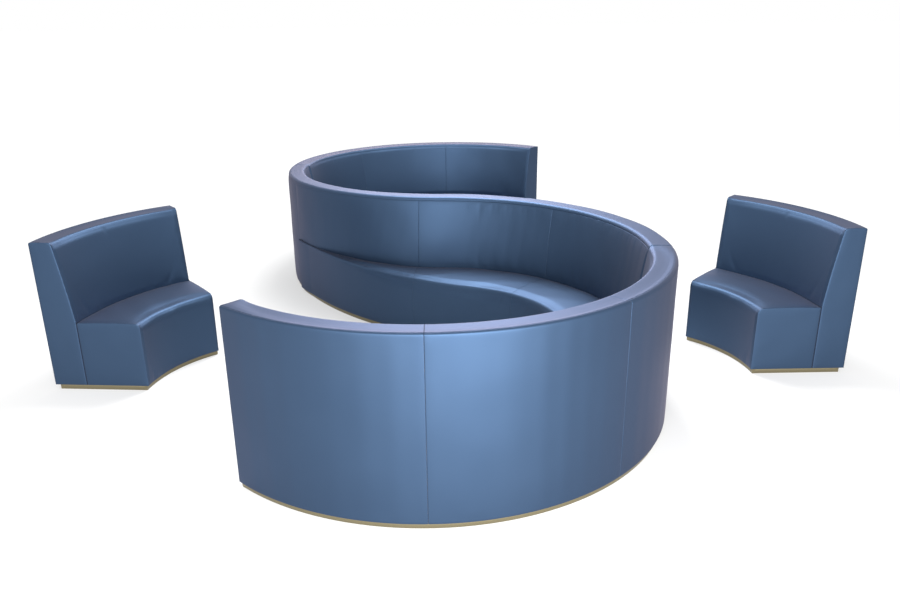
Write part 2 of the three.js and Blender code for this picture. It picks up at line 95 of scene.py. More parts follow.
def spread(start, end, marks, step):
    """Places from start to end, a step apart and closer together at the marks."""
    even = np.linspace(start, end, max(2, math.ceil((end - start) / step) + 1))
    marks = np.asarray(marks, float)
    if marks.size == 0:
        return even
    apart = np.abs(even[:, None] - marks[None, :]).min(axis=1)
    close = (marks[:, None, None] + np.array((-1, 1))[:, None] * close_spacing).ravel()
    close = close[(close >= start) & (close <= end)]
    places = np.concatenate((even[apart > close_spacing[-1] + step / 3], close, (start, end)))
    return np.unique(np.round(places, 7))


def plump_at(places, seams):
    """Upholstery is drawn in at the seams and plumpest halfway between them."""
    seams = np.asarray(seams, float)
    last = np.clip(np.searchsorted(seams, places), 1, len(seams) - 1)
    share = (places - seams[last - 1]) / (seams[last] - seams[last - 1])
    return seam_plump_share + (1 - seam_plump_share) * np.sin(np.pi * np.clip(share, 0, 1))


def arc_stations(places, start_angle, seams, centre=(0.0, 0.0)):
    """Upright planes across a bowl, at distances along its wall's centre line."""
    angles = math.radians(start_angle) + places / line_radius
    outwards = np.stack((np.cos(angles), np.sin(angles)), axis=1)
    around = np.stack((-np.sin(angles), np.cos(angles)), axis=1)
    full = np.ones(len(places))
    return {
        "place": places,
        "point": np.asarray(centre) + outwards * line_radius,
        "across": -outwards,
        "along": around,
        "front": full * (line_radius - seat_front_radius),
        "rake": full * rake,
        "other_front": full * half_wall,
        "plump": plump_at(places, seams),
    }


def trimmed(stations, free_start, free_end):
    """The stations drawn in at both ends, so that the end planes move parallel."""
    place = stations["place"]
    start_share = np.clip(1 - (place - place[0]) / trim_fade, 0, 1)
    end_share = np.clip(1 - (place[-1] - place) / trim_fade, 0, 1)
    shift = free_start * start_share - free_end * end_share
    return {**stations, "point": stations["point"] + stations["along"] * shift[:, None]}


def turned(stations, degrees, centre=(0.0, 0.0)):
    """The stations turned about the upright and moved from the bend's frame to the row's."""
    cosine = math.cos(math.radians(degrees))
    sine = math.sin(math.radians(degrees))
    turn = np.array(((cosine, sine), (-sine, cosine)))
    return {
        **stations,
        "point": stations["point"] @ turn + np.asarray(centre) + bend,
        "across": stations["across"] @ turn,
        "along": stations["along"] @ turn,
    }


def stood(stations, stand):
    """The stations of a module or loose seat where it stands."""
    return turned(stations, stand["facing"], stand["centre"])


def smooth_step(values, start, end):
    share = np.clip((values - start) / (end - start), 0, 1)
    return share * share * (3 - 2 * share)


def faded_rake(turns):
    return rake * (1 - smooth_step(turns, 0, rake_fade_turn))


# The wide arc that carries on the front bowl's seat front to the back bowl's outer face
taper_end = math.radians(-90 - taper_turn)
reach = outer_radius + seat_front_radius
extra = (reach ** 2 - bowl_spacing ** 2) / (-2 * bowl_spacing * math.sin(taper_end) - 2 * reach)
wide_centre = back_centre - extra * np.array((math.cos(taper_end), math.sin(taper_end)))
wide_radius = outer_radius + extra
wide_leave = wide_centre - front_centre
wide_leave_turn = math.degrees(math.atan2(wide_leave[1], wide_leave[0])) - 90


def seat_front(point, across, turns):
    """How far the middle seat's front lies from the wall's centre line."""
    start = point - wide_centre
    run = (start * across).sum(axis=1)
    inside = run ** 2 - (start ** 2).sum(axis=1) + wide_radius ** 2
    to_arc = np.sqrt(np.maximum(inside, 0)) - run
    front = np.maximum(to_arc, half_wall + faded_rake(turns) + tip_width)
    front = np.where(turns <= wide_leave_turn, line_radius - seat_front_radius, front)
    return np.where(turns > taper_turn, half_wall, front)


def middle_stations(places):
    """Upright planes across the S, at distances from its bend. Each bowl has its own side."""
    turns = np.degrees(places / line_radius)
    before = turns <= 0
    side = np.where(before, 1.0, -1.0)[:, None]
    angles = np.radians(np.where(before, 90 + turns, -90 - turns))
    outwards = np.stack((np.cos(angles), np.sin(angles)), axis=1)
    around = np.stack((-np.sin(angles), np.cos(angles)), axis=1)
    centre = np.where(before[:, None], front_centre, back_centre)
    stations = {
        "place": places,
        "point": centre + outwards * line_radius,
        "across": outwards * -side,
        "along": around * side,
        "rake": faded_rake(turns),
        "plump": plump_at(turns, (-middle_turn, *middle_seam_turns, middle_turn)),
    }
    stations["front"] = seat_front(stations["point"], stations["across"], turns)
    return stations


def two_sided(places):
    """Stations of the middle wall, with what lies on its other side as well."""
    stations = middle_stations(places)
    other = middle_stations(-places)
    stations["other_front"] = other["front"]
    stations["other_rake"] = other["rake"]
    stations["other_plump"] = other["plump"]
    return stations


def turn_place(degrees):
    return math.radians(degrees) * line_radius


def nearest(stations, marks):
    """The indices of the stations at the marked places."""
    return [int(np.abs(stations["place"] - mark).argmin()) for mark in marks]


def board_lines(stations, marks, other_recess):
    """The middle lines of a plinth's boards: its two long ones, its ends and crosspieces."""
    inset = board_thick / 2
    near = stations["front"] - plinth_recess - inset
    far = other_recess + inset - stations["other_front"]
    lines = []
    for across_place in (near, far):
        lines.append(stations["point"] + across_place[:, None] * stations["across"])
    crosses = [(0, inset), (-1, -inset)]
    crosses += [(index, 0.0) for index in nearest(stations, marks)]
    for index, shift in crosses:
        point = stations["point"][index] + stations["along"][index] * shift
        across = stations["across"][index]
        lines.append(np.stack((point + (near[index] - inset) * across,
                               point + (far[index] + inset) * across)))
    return lines


def line_mesh(name, lines, height):
    """A mesh of bare edges, which a node tree then follows."""
    vertices = []
    edges = []
    for line in lines:
        first = len(vertices)
        vertices.extend((x, y, height) for x, y in line)
        edges.extend((first + i, first + i + 1) for i in range(len(line) - 1))
    mesh = bpy.data.meshes.new(name)
    mesh.from_pydata(vertices, edges, [])
    return mesh


def node_tree(name, inputs, output):
    """A tree of geometry nodes with named inputs and one named output."""
    tree = bpy.data.node_groups.new(name, "GeometryNodeTree")
    for label, kind in inputs.items():
        tree.interface.new_socket(label, in_out="INPUT", socket_type=f"NodeSocket{kind}")
    tree.interface.new_socket(output, in_out="OUTPUT", socket_type="NodeSocketGeometry")
    return tree, tree.nodes.new("NodeGroupInput"), tree.nodes.new("NodeGroupOutput")


def wire(tree, *pairs):
    """Joins nodes: each pair is (node, output) and (node, input)."""
    for (source, output), (target, socket) in pairs:
        tree.links.new(source.outputs[output], target.inputs[socket])


def finish_tree(tree, shape, group_in, group_out, output):
    """Ends a tree: any instances are made real, and all of it gets the finish that comes in."""
    real = tree.nodes.new("GeometryNodeRealizeInstances")
    finish = tree.nodes.new("GeometryNodeSetMaterial")
    wire(
        tree,
        (shape, (real, "Geometry")),
        ((real, "Geometry"), (finish, "Geometry")),
        ((group_in, "Finish"), (finish, "Material")),
        ((finish, "Geometry"), (group_out, output)),
    )


def made_by_tree(name, mesh, tree, values):
    """An object whose mesh is what the node tree makes of the mesh it starts from."""
    piece = bpy.data.objects.new(name, mesh)
    bpy.context.scene.collection.objects.link(piece)
    modifier = piece.modifiers.new("tree", "NODES")
    modifier.node_group = tree
    for item in tree.interface.items_tree:
        if item.item_type == "SOCKET" and item.in_out == "INPUT" and item.name in values:
            modifier[item.identifier] = values[item.name]
    bpy.context.view_layer.update()
    evaluated = piece.evaluated_get(bpy.context.evaluated_depsgraph_get())
    made = bpy.data.meshes.new_from_object(evaluated)
    piece.modifiers.clear()
    piece.data = made
    made.name = name
    return piece


board_tree, board_in, board_out = node_tree(
    "boards_on_edge",
    {"Lines": "Geometry", "Thickness": "Float", "Height": "Float", "Edge round": "Float",
     "Finish": "Material"},
    "Boards")
board_curve = board_tree.nodes.new("GeometryNodeMeshToCurve")
board_upright = board_tree.nodes.new("GeometryNodeSetCurveNormal")
board_upright.mode = "Z_UP"
board_profile = board_tree.nodes.new("GeometryNodeCurvePrimitiveQuadrilateral")
board_round = board_tree.nodes.new("GeometryNodeFilletCurve")
board_sweep = board_tree.nodes.new("GeometryNodeCurveToMesh")
board_sweep.inputs["Fill Caps"].default_value = True
wire(
    board_tree,
    ((board_in, "Lines"), (board_curve, "Mesh")),
    ((board_curve, "Curve"), (board_upright, "Curve")),
    ((board_upright, "Curve"), (board_sweep, "Curve")),
    ((board_in, "Thickness"), (board_profile, "Width")),
    ((board_in, "Height"), (board_profile, "Height")),
    ((board_profile, "Curve"), (board_round, "Curve")),
    ((board_in, "Edge round"), (board_round, "Radius")),
    ((board_round, "Curve"), (board_sweep, "Profile Curve")),
)
finish_tree(board_tree, (board_sweep, "Mesh"), board_in, board_out, "Boards")


def material_nodes(name):
    material = bpy.data.materials.new(name)
    material.use_nodes = True
    return material, material.node_tree, material.node_tree.nodes["Principled BSDF"]


def set_inputs(node, values):
    """Sets a node's inputs, each to a value or to another node's output."""
    for label, value in values.items():
        if isinstance(value, bpy.types.NodeSocket):
            node.id_data.links.new(value, node.inputs[label])
        else:
            node.inputs[label].default_value = value


def noise(tree, source, scale, detail, roughness=0.5):
    texture = tree.nodes.new("ShaderNodeTexNoise")
    set_inputs(texture, {"Scale": scale, "Detail": detail, "Roughness": roughness,
                         "Vector": source})
    return texture.outputs["Fac"]


def ranged(tree, source, low, high):
    node = tree.nodes.new("ShaderNodeMapRange")
    set_inputs(node, {"To Min": low, "To Max": high, "Value": source})
    return node.outputs["Result"]


def colour_mix(tree, share, low, high):
    node = tree.nodes.new("ShaderNodeMix")
    node.data_type = "RGBA"
    set_inputs(node, {"A": (*low, 1), "B": (*high, 1), "Factor": share})
    return node.outputs["Result"]


def bump(tree, height, distance):
    node = tree.nodes.new("ShaderNodeBump")
    set_inputs(node, {"Strength": 1.0, "Distance": distance, "Height": height})
    return node.outputs["Normal"]


def object_place(tree, stretch=(1, 1, 1)):
    place = tree.nodes.new("ShaderNodeTexCoord")
    mapping = tree.nodes.new("ShaderNodeMapping")
    set_inputs(mapping, {"Scale": stretch, "Vector": place.outputs["Object"]})
    return mapping.outputs["Vector"]


gold, gold_tree, gold_shader = material_nodes("champagne_gold_laminate")
gold_brush = noise(gold_tree, object_place(gold_tree, (1, 1, 14)), 90, 6)
set_inputs(gold_shader, {
    "Metallic": 0.75,
    "Base Color": colour_mix(gold_tree, gold_brush, (0.175, 0.150, 0.088),
                             (0.235, 0.203, 0.124)),
    "Roughness": ranged(gold_tree, gold_brush, 0.30, 0.42),
    "Normal": bump(gold_tree, gold_brush, 0.00006),
})


def bay_marks(start, end, bays):
    return np.linspace(start, end, bays + 1)[1:-1]


def plinth(name, body, stations, marks, other_recess):
    lines = board_lines(stations, marks, other_recess)
    mesh = line_mesh(name, lines, plinth_height / 2)
    piece = made_by_tree(f"{name}_boards", mesh, board_tree, {
        "Thickness": board_thick, "Height": plinth_height, "Edge round": board_edge_round,
        "Finish": gold})
    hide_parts(name)
    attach(piece, body)


end_marks = bay_marks(0, end_length, end_bays)
end_plinth_places = spread(0, end_length, end_marks, board_step)
end_plinth = trimmed(arc_stations(end_plinth_places, front_end_angle, (0, end_length),
                                  front_centre), plinth_end_recess, joint_gap / 2)
for prefix, stand in end_modules.items():
    plinth(f"{prefix}_plinth", stand["body"], stood(end_plinth, stand), end_marks,
           plinth_recess)
middle_length = turn_place(middle_turn)
middle_marks = bay_marks(-middle_length, middle_length, middle_bays)
taper_place = turn_place(taper_turn)
middle_plinth_places = spread(-middle_length, middle_length,
                              (*middle_marks, taper_place, -taper_place), board_step)
middle_plinth = trimmed(two_sided(middle_plinth_places), joint_gap / 2, joint_gap / 2)
plinth("middle_plinth", "middle_module", turned(middle_plinth, 0), middle_marks, plinth_recess)
loose_marks = bay_marks(0, loose_length, loose_bays)
loose_plinth_places = spread(0, loose_length, loose_marks, board_step)
loose_plinth = trimmed(arc_stations(loose_plinth_places, -loose_arc / 2, (0, loose_length)),
                       plinth_end_recess, plinth_end_recess)
for prefix, stand in loose_seats.items():
    plinth(f"{prefix}_plinth", stand["body"], stood(loose_plinth, stand), loose_marks,
           loose_back_recess)

# Carcasses: bent and flat birch plywood, glued and stapled over ribs. Their shape is the
# CAD's own, and the upholstery hides them except at the joints and from below.
ply, ply_tree, ply_shader = material_nodes("birch_plywood")
ply_grain = noise(ply_tree, object_place(ply_tree, (1, 1, 7)), 28, 8, 0.6)
ply_layers = ply_tree.nodes.new("ShaderNodeTexWave")
set_inputs(ply_layers, {"Scale": 110, "Distortion": 1.2, "Vector": object_place(ply_tree)})
ply_shade = ply_tree.nodes.new("ShaderNodeMath")
ply_shade.operation = "MULTIPLY_ADD"
set_inputs(ply_shade, {0: ply_layers.outputs["Fac"], 1: 0.25, 2: ply_grain})
set_inputs(ply_shader, {
    "Base Color": colour_mix(ply_tree, ply_shade.outputs["Value"], (0.44, 0.29, 0.15),
                             (0.66, 0.49, 0.29)),
    "Roughness": 0.62,
    "Normal": bump(ply_tree, ply_grain, 0.0004),
})


def paint(node_name, material):
    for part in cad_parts[node_name].material_slots:
        part.material = material


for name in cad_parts:
    if "_frame" in name:
        paint(name, ply)

# Joint fittings: zinc-plated steel plates let in flush with the carcass ends, with two guide
# pins on the end modules' plates and two holes in the middle module's.
zinc, zinc_tree, zinc_shader = material_nodes("zinc_plated_steel")
zinc_spangle = noise(zinc_tree, object_place(zinc_tree), 140, 3)
set_inputs(zinc_shader, {
    "Metallic": 1.0,
    "Base Color": colour_mix(zinc_tree, zinc_spangle, (0.44, 0.45, 0.46), (0.60, 0.60, 0.59)),
    "Roughness": ranged(zinc_tree, zinc_spangle, 0.28, 0.45),
    "Normal": bump(zinc_tree, zinc_spangle, 0.00005),
})
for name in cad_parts:
    if "_joint_" in name:
        paint(name, zinc)

# Plate screws: countersunk, zinc-plated and cross-headed, four to a plate, driven home so that
# only the low dome of the head stands proud.
fit_gap = 0.0003
cover_thick = 0.0025
skin = cover_thick + fit_gap
back_foam_thick = 0.030
plate_rise = 0.200
screw_across = 0.056
screw_up = 0.021
screw_radius = 0.0042
screw_dome = 0.0004
screw_slot_depth = 0.0012
screw_slot_half = 0.0006
screw_slot_reach = 0.0026
screw_rings = (0.0004, 0.0010, 0.0018, 0.0026, 0.0034, 0.0042)
screw_sides = 32


def screw_head(name):
    """A domed head with a cross slot, facing up along Z, closed below."""
    head = bmesh.new()
    rings = []
    for radius in screw_rings:
        ring = []
        for angle in np.linspace(0, 2 * np.pi, screw_sides, endpoint=False):
            x = radius * math.cos(angle)
            y = radius * math.sin(angle)
            height = screw_dome * (1 - (radius / screw_radius) ** 2)
            if min(abs(x), abs(y)) < screw_slot_half and radius < screw_slot_reach:
                height -= screw_slot_depth * (1 - radius / screw_slot_reach)
            ring.append(head.verts.new((x, y, height)))
        rings.append(ring)
    centre = head.verts.new((0, 0, screw_dome - screw_slot_depth))
    below = head.verts.new((0, 0, -screw_radius / 2))
    for k in range(screw_sides):
        after = (k + 1) % screw_sides
        head.faces.new((centre, rings[0][k], rings[0][after]))
        head.faces.new((below, rings[-1][after], rings[-1][k]))
        for inner, outer in zip(rings, rings[1:]):
            head.faces.new((inner[k], outer[k], outer[after], inner[after]))
    mesh = bpy.data.meshes.new(name)
    head.to_mesh(mesh)
    head.free()
    piece = bpy.data.objects.new(name, mesh)
    bpy.context.scene.collection.objects.link(piece)
    return piece


screw_tree, screw_in, screw_out = node_tree(
    "screws_on_points",
    {"Points": "Geometry", "Head": "Object", "Size": "Float", "Finish": "Material"},
    "Screws")
screw_head_in = screw_tree.nodes.new("GeometryNodeObjectInfo")
screw_facing = screw_tree.nodes.new("GeometryNodeInputNamedAttribute")
screw_facing.data_type = "FLOAT_VECTOR"
screw_facing.inputs["Name"].default_value = "facing"
screw_turn = screw_tree.nodes.new("FunctionNodeAlignRotationToVector")
screw_turn.axis = "Z"
screw_set = screw_tree.nodes.new("GeometryNodeInstanceOnPoints")
wire(
    screw_tree,
    ((screw_in, "Head"), (screw_head_in, "Object")),
    ((screw_facing, "Attribute"), (screw_turn, "Vector")),
    ((screw_in, "Points"), (screw_set, "Points")),
    ((screw_head_in, "Geometry"), (screw_set, "Instance")),
    ((screw_turn, "Rotation"), (screw_set, "Rotation")),
    ((screw_in, "Size"), (screw_set, "Scale")),
)
finish_tree(screw_tree, (screw_set, "Instances"), screw_in, screw_out, "Screws")


def screw_points(name, faces):
    """A mesh of bare points in the corners of the plates, with the way that each faces."""
    places = []
    ways = []
    for stations, index, sign in faces:
        board = half_wall + rake - skin - back_foam_thick - fit_gap
        middle = (board + stations["front"][index]) / 2
        for across in (-screw_across, screw_across):
            level = stations["point"][index] + stations["across"][index] * (middle + across)
            for up in (-screw_up, screw_up):
                places.append((*level, plate_rise + up))
                ways.append((*(sign * stations["along"][index]), 0))
    mesh = bpy.data.meshes.new(name)
    mesh.from_pydata(places, [], [])
    way = mesh.attributes.new("facing", "FLOAT_VECTOR", "POINT")
    way.data.foreach_set("vector", np.array(ways, np.float32).ravel())
    return mesh


end_joint = trimmed(arc_stations(np.array((0, end_length)), front_end_angle, (0, end_length),
                                 front_centre), 0, joint_gap / 2)
middle_joint = trimmed(middle_stations(np.array((-middle_length, middle_length))),
                       joint_gap / 2, joint_gap / 2)
head = screw_head("screw_head")
sides = {"a": 0, "b": 180}
joint_faces = {stand["body"]: [(stood(end_joint, stand), -1, 1)]
               for stand in end_modules.values()}
joint_faces["middle_module"] = [(turned(middle_joint, degrees), 0, -1)
                                for degrees in sides.values()]
for body, faces in joint_faces.items():
    name = f"{body}_plate_screws"
    screws = made_by_tree(name, screw_points(name, faces), screw_tree,
                          {"Head": head, "Size": 1.0, "Finish": zinc})
    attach(screws, body)
bpy.data.objects.remove(head)

# Back rests: foam glued over the carcass's cap and face, under one sewn cover of pearly blue
# faux leather. Its seam with the outside panels runs along the cap's outer edge, and the
# seams between its own panels run over the cap and down the face.
sofa_height = 0.960
seat_height = 0.455
deck_drop = 0.072
above_deck = seat_height - deck_drop + fit_gap
cap_foam_thick = 0.012
cap_outer_round = 0.012
cap_joint_round = 0.024
cap_inner_round = 0.024
hidden_steps = 3
inner_round_steps = 9
back_crown = 0.008
deck_shares = (0.12, 0.25, 0.4, 0.7, 1)
foot_rows = len(deck_shares)
frame_top = sofa_height - skin - cap_foam_thick - fit_gap
face_step = 0.010
column_step = 0.011
inner_columns = 9
back_seeds = (11, 21)
seam_depth = 0.0019
seam_width = 0.0034
edge_depth = 0.0019
edge_width = 0.0040
joint_roll_depth = 0.0065
joint_roll_width = 0.0075
joint_groove_depth = 0.0120
joint_groove_width = 0.0300
free_end = (edge_depth, edge_width)
joint_end = (joint_roll_depth, joint_roll_width)
swell_lengths = (0.22, 0.60)
back_swell_rise = 0.0011
face_fade = (0.015, 0.060)
foot_fade = (seat_height - 0.010, seat_height + 0.050)
seam_puckers = {"shortest": 0.018, "longest": 0.040, "depth": 0.0004, "reach": 0.012}
edge_puckers = {"shortest": 0.016, "longest": 0.036, "depth": 0.0009, "reach": 0.011}
fold_start = 0.004
fold_pitches = (0.020, 0.026)
fold_lengths = (0.20, 0.45)
fold_depth = 0.0004
fold_reach = 0.042
fold_steady_share = 0.6
softening_start_share = 0.35
softened_share = 0.6

leather, leather_tree, leather_shader = material_nodes("pearl_blue_faux_leather")
leather_place = object_place(leather_tree)
leather_grain = noise(leather_tree, leather_place, 620, 4, 0.55)
leather_tone = noise(leather_tree, leather_place, 2.6, 3)
set_inputs(leather_shader, {
    "Metallic": 0.9,
    "Base Color": colour_mix(leather_tree, leather_tone, (0.040, 0.072, 0.129),
                             (0.048, 0.084, 0.147)),
    "Roughness": ranged(leather_tree, leather_grain, 0.50, 0.60),
    "Specular IOR Level": 0.35,
    "Specular Tint": (0.74, 0.62, 0.64, 1),
    "Sheen Weight": 0.07,
    "Sheen Roughness": 0.40,
    "Sheen Tint": (0.85, 0.70, 0.72, 1),
    "Normal": bump(leather_tree, leather_grain, 0.00012),
})

foam, foam_tree, foam_shader = material_nodes("seating_foam")
foam_cells = noise(foam_tree, object_place(foam_tree), 900, 2)
set_inputs(foam_shader, {
    "Base Color": colour_mix(foam_tree, foam_cells, (0.66, 0.60, 0.38), (0.84, 0.79, 0.56)),
    "Roughness": 0.95,
    "Normal": bump(foam_tree, foam_cells, 0.0006),
})


def lean_share(height):
    return np.clip((sofa_height - height) / (sofa_height - seat_height), None, 1)


def flat_face(stations, height):
    return half_wall + stations["rake"] * lean_share(height)


def crowned_face(stations, height):
    bulge = np.sin(np.pi * lean_share(height)) * stations["plump"]
    return flat_face(stations, height) + back_crown * bulge * stations["rake"] / rake


def straight(start, end, shares):
    """Outline points between two points at shares of the way."""
    return [(start[0] + (end[0] - start[0]) * share, start[1] + (end[1] - start[1]) * share)
            for share in shares]


def rounded(centre, radius, from_degrees, to_degrees, steps):
    """Outline points on a round about a centre."""
    return [(centre[0] + radius * math.cos(angle), centre[1] + radius * math.sin(angle))
            for angle in np.radians(np.linspace(from_degrees, to_degrees, steps + 1))]


def even_shares(length, step):
    return np.linspace(0, 1, max(1, round(length / step)) + 1)[1:-1]


def close_shares(length, step, at_start, at_end):
    """Shares of a length, closer together at the ends that meet a seam."""
    marks = ([0.0] if at_start else []) + ([length] if at_end else [])
    return spread(0, length, marks, step)[1:-1] / length


def placed(stations, outline):
    """Points in the row frame of an outline of (across, up) points at every station."""
    count = len(stations["place"])
    across = np.stack([np.broadcast_to(u, count) for u, _ in outline], axis=1)
    height = np.stack([np.broadcast_to(z, count) for _, z in outline], axis=1)
    level = stations["point"][:, None, :] + across[..., None] * stations["across"][:, None, :]
    return np.concatenate((level, height[..., None]), axis=2)


def facing(grid):
    """Unit normals of a grid of stations and rows."""
    normal = np.cross(np.gradient(grid, axis=0), np.gradient(grid, axis=1))
    length = np.linalg.norm(normal, axis=2, keepdims=True)
    return normal / np.maximum(length, 1e-12)


def distances(grid, axis):
    """Distances along a grid's lines from their start."""
    steps = np.linalg.norm(np.diff(grid, axis=axis), axis=2)
    start = np.zeros_like(np.take(steps, [0], axis=axis))
    return np.concatenate((start, np.cumsum(steps, axis=axis)), axis=axis)


def roll(distance, depth, width):
    """How deep a rolled edge lies at a distance from its seam."""
    share = np.clip(1 - np.abs(distance) / width, 0, 1)
    return depth * (1 - np.sqrt(1 - share * share))


def wave(distance, chance, shortest, longest, waves=7):
    """An uneven wave along a distance, between about -1 and 1."""
    total = 0
    for _ in range(waves):
        length = chance.uniform(shortest, longest)
        total = total + np.sin(2 * np.pi * (distance / length + chance.uniform()))
    return total / math.sqrt(waves * 1.6)


def swell(along, around, chance, shortest, longest, waves=9):
    """Low uneven swellings over a surface, between about -1 and 1."""
    total = 0
    for _ in range(waves):
        length = chance.uniform(shortest, longest)
        heading = chance.uniform(0, np.pi)
        distance = along * math.cos(heading) + around * math.sin(heading)
        total = total + np.sin(2 * np.pi * (distance / length + chance.uniform()))
    return total / math.sqrt(waves * 1.6)


def puckers(along, from_seam, chance, shortest, longest, depth, reach):
    """How deep short puckers lie, at distances along a seam and from it."""
    pucker = 0.5 + 0.5 * wave(along, chance, shortest, longest)
    return depth * pucker * np.exp(-np.abs(from_seam) / reach)


def measured(stations, grid):
    """Distances along and around a grid, and the length of a unit of place at each point."""
    along = distances(grid, 0)
    scale = np.gradient(along, axis=0) / np.gradient(stations["place"])[:, None]
    return along, distances(grid, 1), scale


def quads(index):
    """The faces between the points of a grid, from the points' indices."""
    corners = (index[:-1, :-1], index[1:, :-1], index[1:, 1:], index[:-1, 1:])
    return np.stack(corners, axis=-1).reshape(-1, 4).tolist()


def border_faces(fine, coarse, station_picks, row_picks):
    """The faces that join the edge of a fine grid to the edge of a coarse one behind it."""
    stations, rows = fine.shape
    at_station = np.searchsorted(station_picks, np.arange(stations), side="right") - 1
    at_row = np.searchsorted(row_picks, np.arange(rows), side="right") - 1
    ring = [(i, 0) for i in range(stations)]
    ring += [(stations - 1, j) for j in range(1, rows)]
    ring += [(i, rows - 1) for i in range(stations - 2, -1, -1)]
    ring += [(0, j) for j in range(rows - 2, -1, -1)]
    faces = []
    for (i, j), (next_i, next_j) in zip(ring, ring[1:]):
        here = coarse[at_station[i], at_row[j]]
        there = coarse[at_station[next_i], at_row[next_j]]
        corners = [fine[i, j], here, there, fine[next_i, next_j]]
        faces.append([int(c) for k, c in enumerate(corners) if k != 2 or here != there])
    return faces


def shell(name, outer, inner, station_picks, row_picks, materials, slots=(0, 0)):
    """A closed mesh of a fine outer grid, a coarse inner one and the border between them.

    The two slots are the material of the outside with its border, and of the inside.
    """
    fine = np.arange(outer[..., 0].size).reshape(outer.shape[:2])
    coarse = fine.size + np.arange(inner[..., 0].size).reshape(inner.shape[:2])
    outer_faces = quads(fine)
    inner_faces = [[a, d, c, b] for a, b, c, d in quads(coarse)]
    vertices = np.concatenate((outer.reshape(-1, 3), inner.reshape(-1, 3)))
    mesh = bpy.data.meshes.new(name)
    mesh.from_pydata(vertices.tolist(), [], outer_faces + inner_faces
                     + border_faces(fine, coarse, station_picks, row_picks))
    for material in materials:
        mesh.materials.append(material)
    face_slots = np.full(len(mesh.polygons), slots[0], np.int32)
    face_slots[len(outer_faces):len(outer_faces) + len(inner_faces)] = slots[1]
    mesh.polygons.foreach_set("material_index", face_slots)
    whole = bmesh.new()
    whole.from_mesh(mesh)
    if whole.calc_volume(signed=True) < 0:
        bmesh.ops.reverse_faces(whole, faces=whole.faces)
    whole.to_mesh(mesh)
    whole.free()
    mesh.polygons.foreach_set("use_smooth", np.ones(len(mesh.polygons), bool))
    mesh.set_sharp_from_angle(angle=math.radians(45))
    piece = bpy.data.objects.new(name, mesh)
    bpy.context.scene.collection.objects.link(piece)
    return piece


def every(count, step):
    """Indices of every so many of a count, with the last."""
    return np.unique(np.append(np.arange(0, count - 1, step), count - 1))


def at(stations, picks):
    return {name: values[picks] for name, values in stations.items()}


settle_step = 0.022
settle_pressure = 4.0
settle_surplus = 0.0012
settle_tension = 22.0
settle_bending = 1.5
settle_frames = 20
settle_limit = 0.0055


def spaced(run, marks, step):
    """Indices into a rising run of distances, a step apart, that keep the marked ones."""
    picks = []
    for first, last in zip(marks, marks[1:]):
        count = max(1, round((run[last] - run[first]) / step))
        wanted = np.linspace(run[first], run[last], count + 1)
        picks.extend(int(np.abs(run - place).argmin()) for place in wanted)
    return np.unique(picks)


def pressed_out(coarse, held):
    """How far foam presses a coarse cloth off its grid, with some of its points held."""
    index = np.arange(held.size).reshape(held.shape)
    mesh = bpy.data.meshes.new("cover_cloth")
    mesh.from_pydata(coarse.reshape(-1, 3).tolist(), [], quads(index))
    cover = bpy.data.objects.new("cover_cloth", mesh)
    bpy.context.scene.collection.objects.link(cover)
    group = cover.vertex_groups.new(name="held")
    group.add(index[held].tolist(), 1.0, "REPLACE")
    cloth = cover.modifiers.new("cloth", "CLOTH")
    cloth.settings.quality = 4
    cloth.settings.mass = 0.3
    cloth.settings.tension_stiffness = settle_tension
    cloth.settings.compression_stiffness = settle_tension
    cloth.settings.bending_stiffness = settle_bending
    cloth.settings.vertex_group_mass = "held"
    cloth.settings.use_pressure = True
    cloth.settings.uniform_pressure_force = settle_pressure
    cloth.settings.shrink_min = -settle_surplus
    cloth.settings.effector_weights.gravity = 0
    cloth.point_cache.frame_end = settle_frames
    for number in range(1, settle_frames + 1):
        bpy.context.scene.frame_set(number)
    evaluated = cover.evaluated_get(bpy.context.evaluated_depsgraph_get())
    places = np.zeros(coarse.size, np.float32)
    evaluated.data.vertices.foreach_get("co", places)
    bpy.data.objects.remove(cover)
    bpy.context.scene.frame_set(1)
    moved = ((places.reshape(coarse.shape) - coarse) * facing(coarse)).sum(axis=2)
    moved = settle_limit * np.tanh(moved / settle_limit)
    moved[held] = 0
    return moved


def settled(grid, station_marks, row_marks):
    """How far a stretched cover swells off its grid between the lines where it is held.

    The cover is a coarse cloth, held along the marked stations and rows and pressed out by
    the foam. What comes back is its lift at every point of the fine grid.
    """
    lift = np.zeros(grid.shape[:2])
    along = distances(grid, 0).mean(axis=1)
    around = distances(grid, 1).max(axis=0)
    station_picks = spaced(along, station_marks, settle_step)
    row_picks = spaced(around, row_marks, settle_step)
    held = np.isin(station_picks, station_marks)[:, None] | np.isin(row_picks, row_marks)
    moved = pressed_out(grid[station_picks][:, row_picks], held)
    by_row = np.stack([np.interp(around, around[row_picks], line) for line in moved])
    rows = np.arange(grid.shape[1])
    for row in rows:
        lift[:, row] = np.interp(along, along[station_picks], by_row[:, row])
    lift[:, (rows < row_marks[0]) | (rows > row_marks[-1])] = 0
    return lift


seam_lines = {}
thread_rise = 0.0006


def keep_seam(body, points, normals):
    """Remembers a seam's line for the thread that is sewn along it later."""
    seam_lines.setdefault(body, []).append(points + normals * thread_rise)


def finish_piece(piece, body, nodes):
    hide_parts(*nodes)
    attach(piece, body)


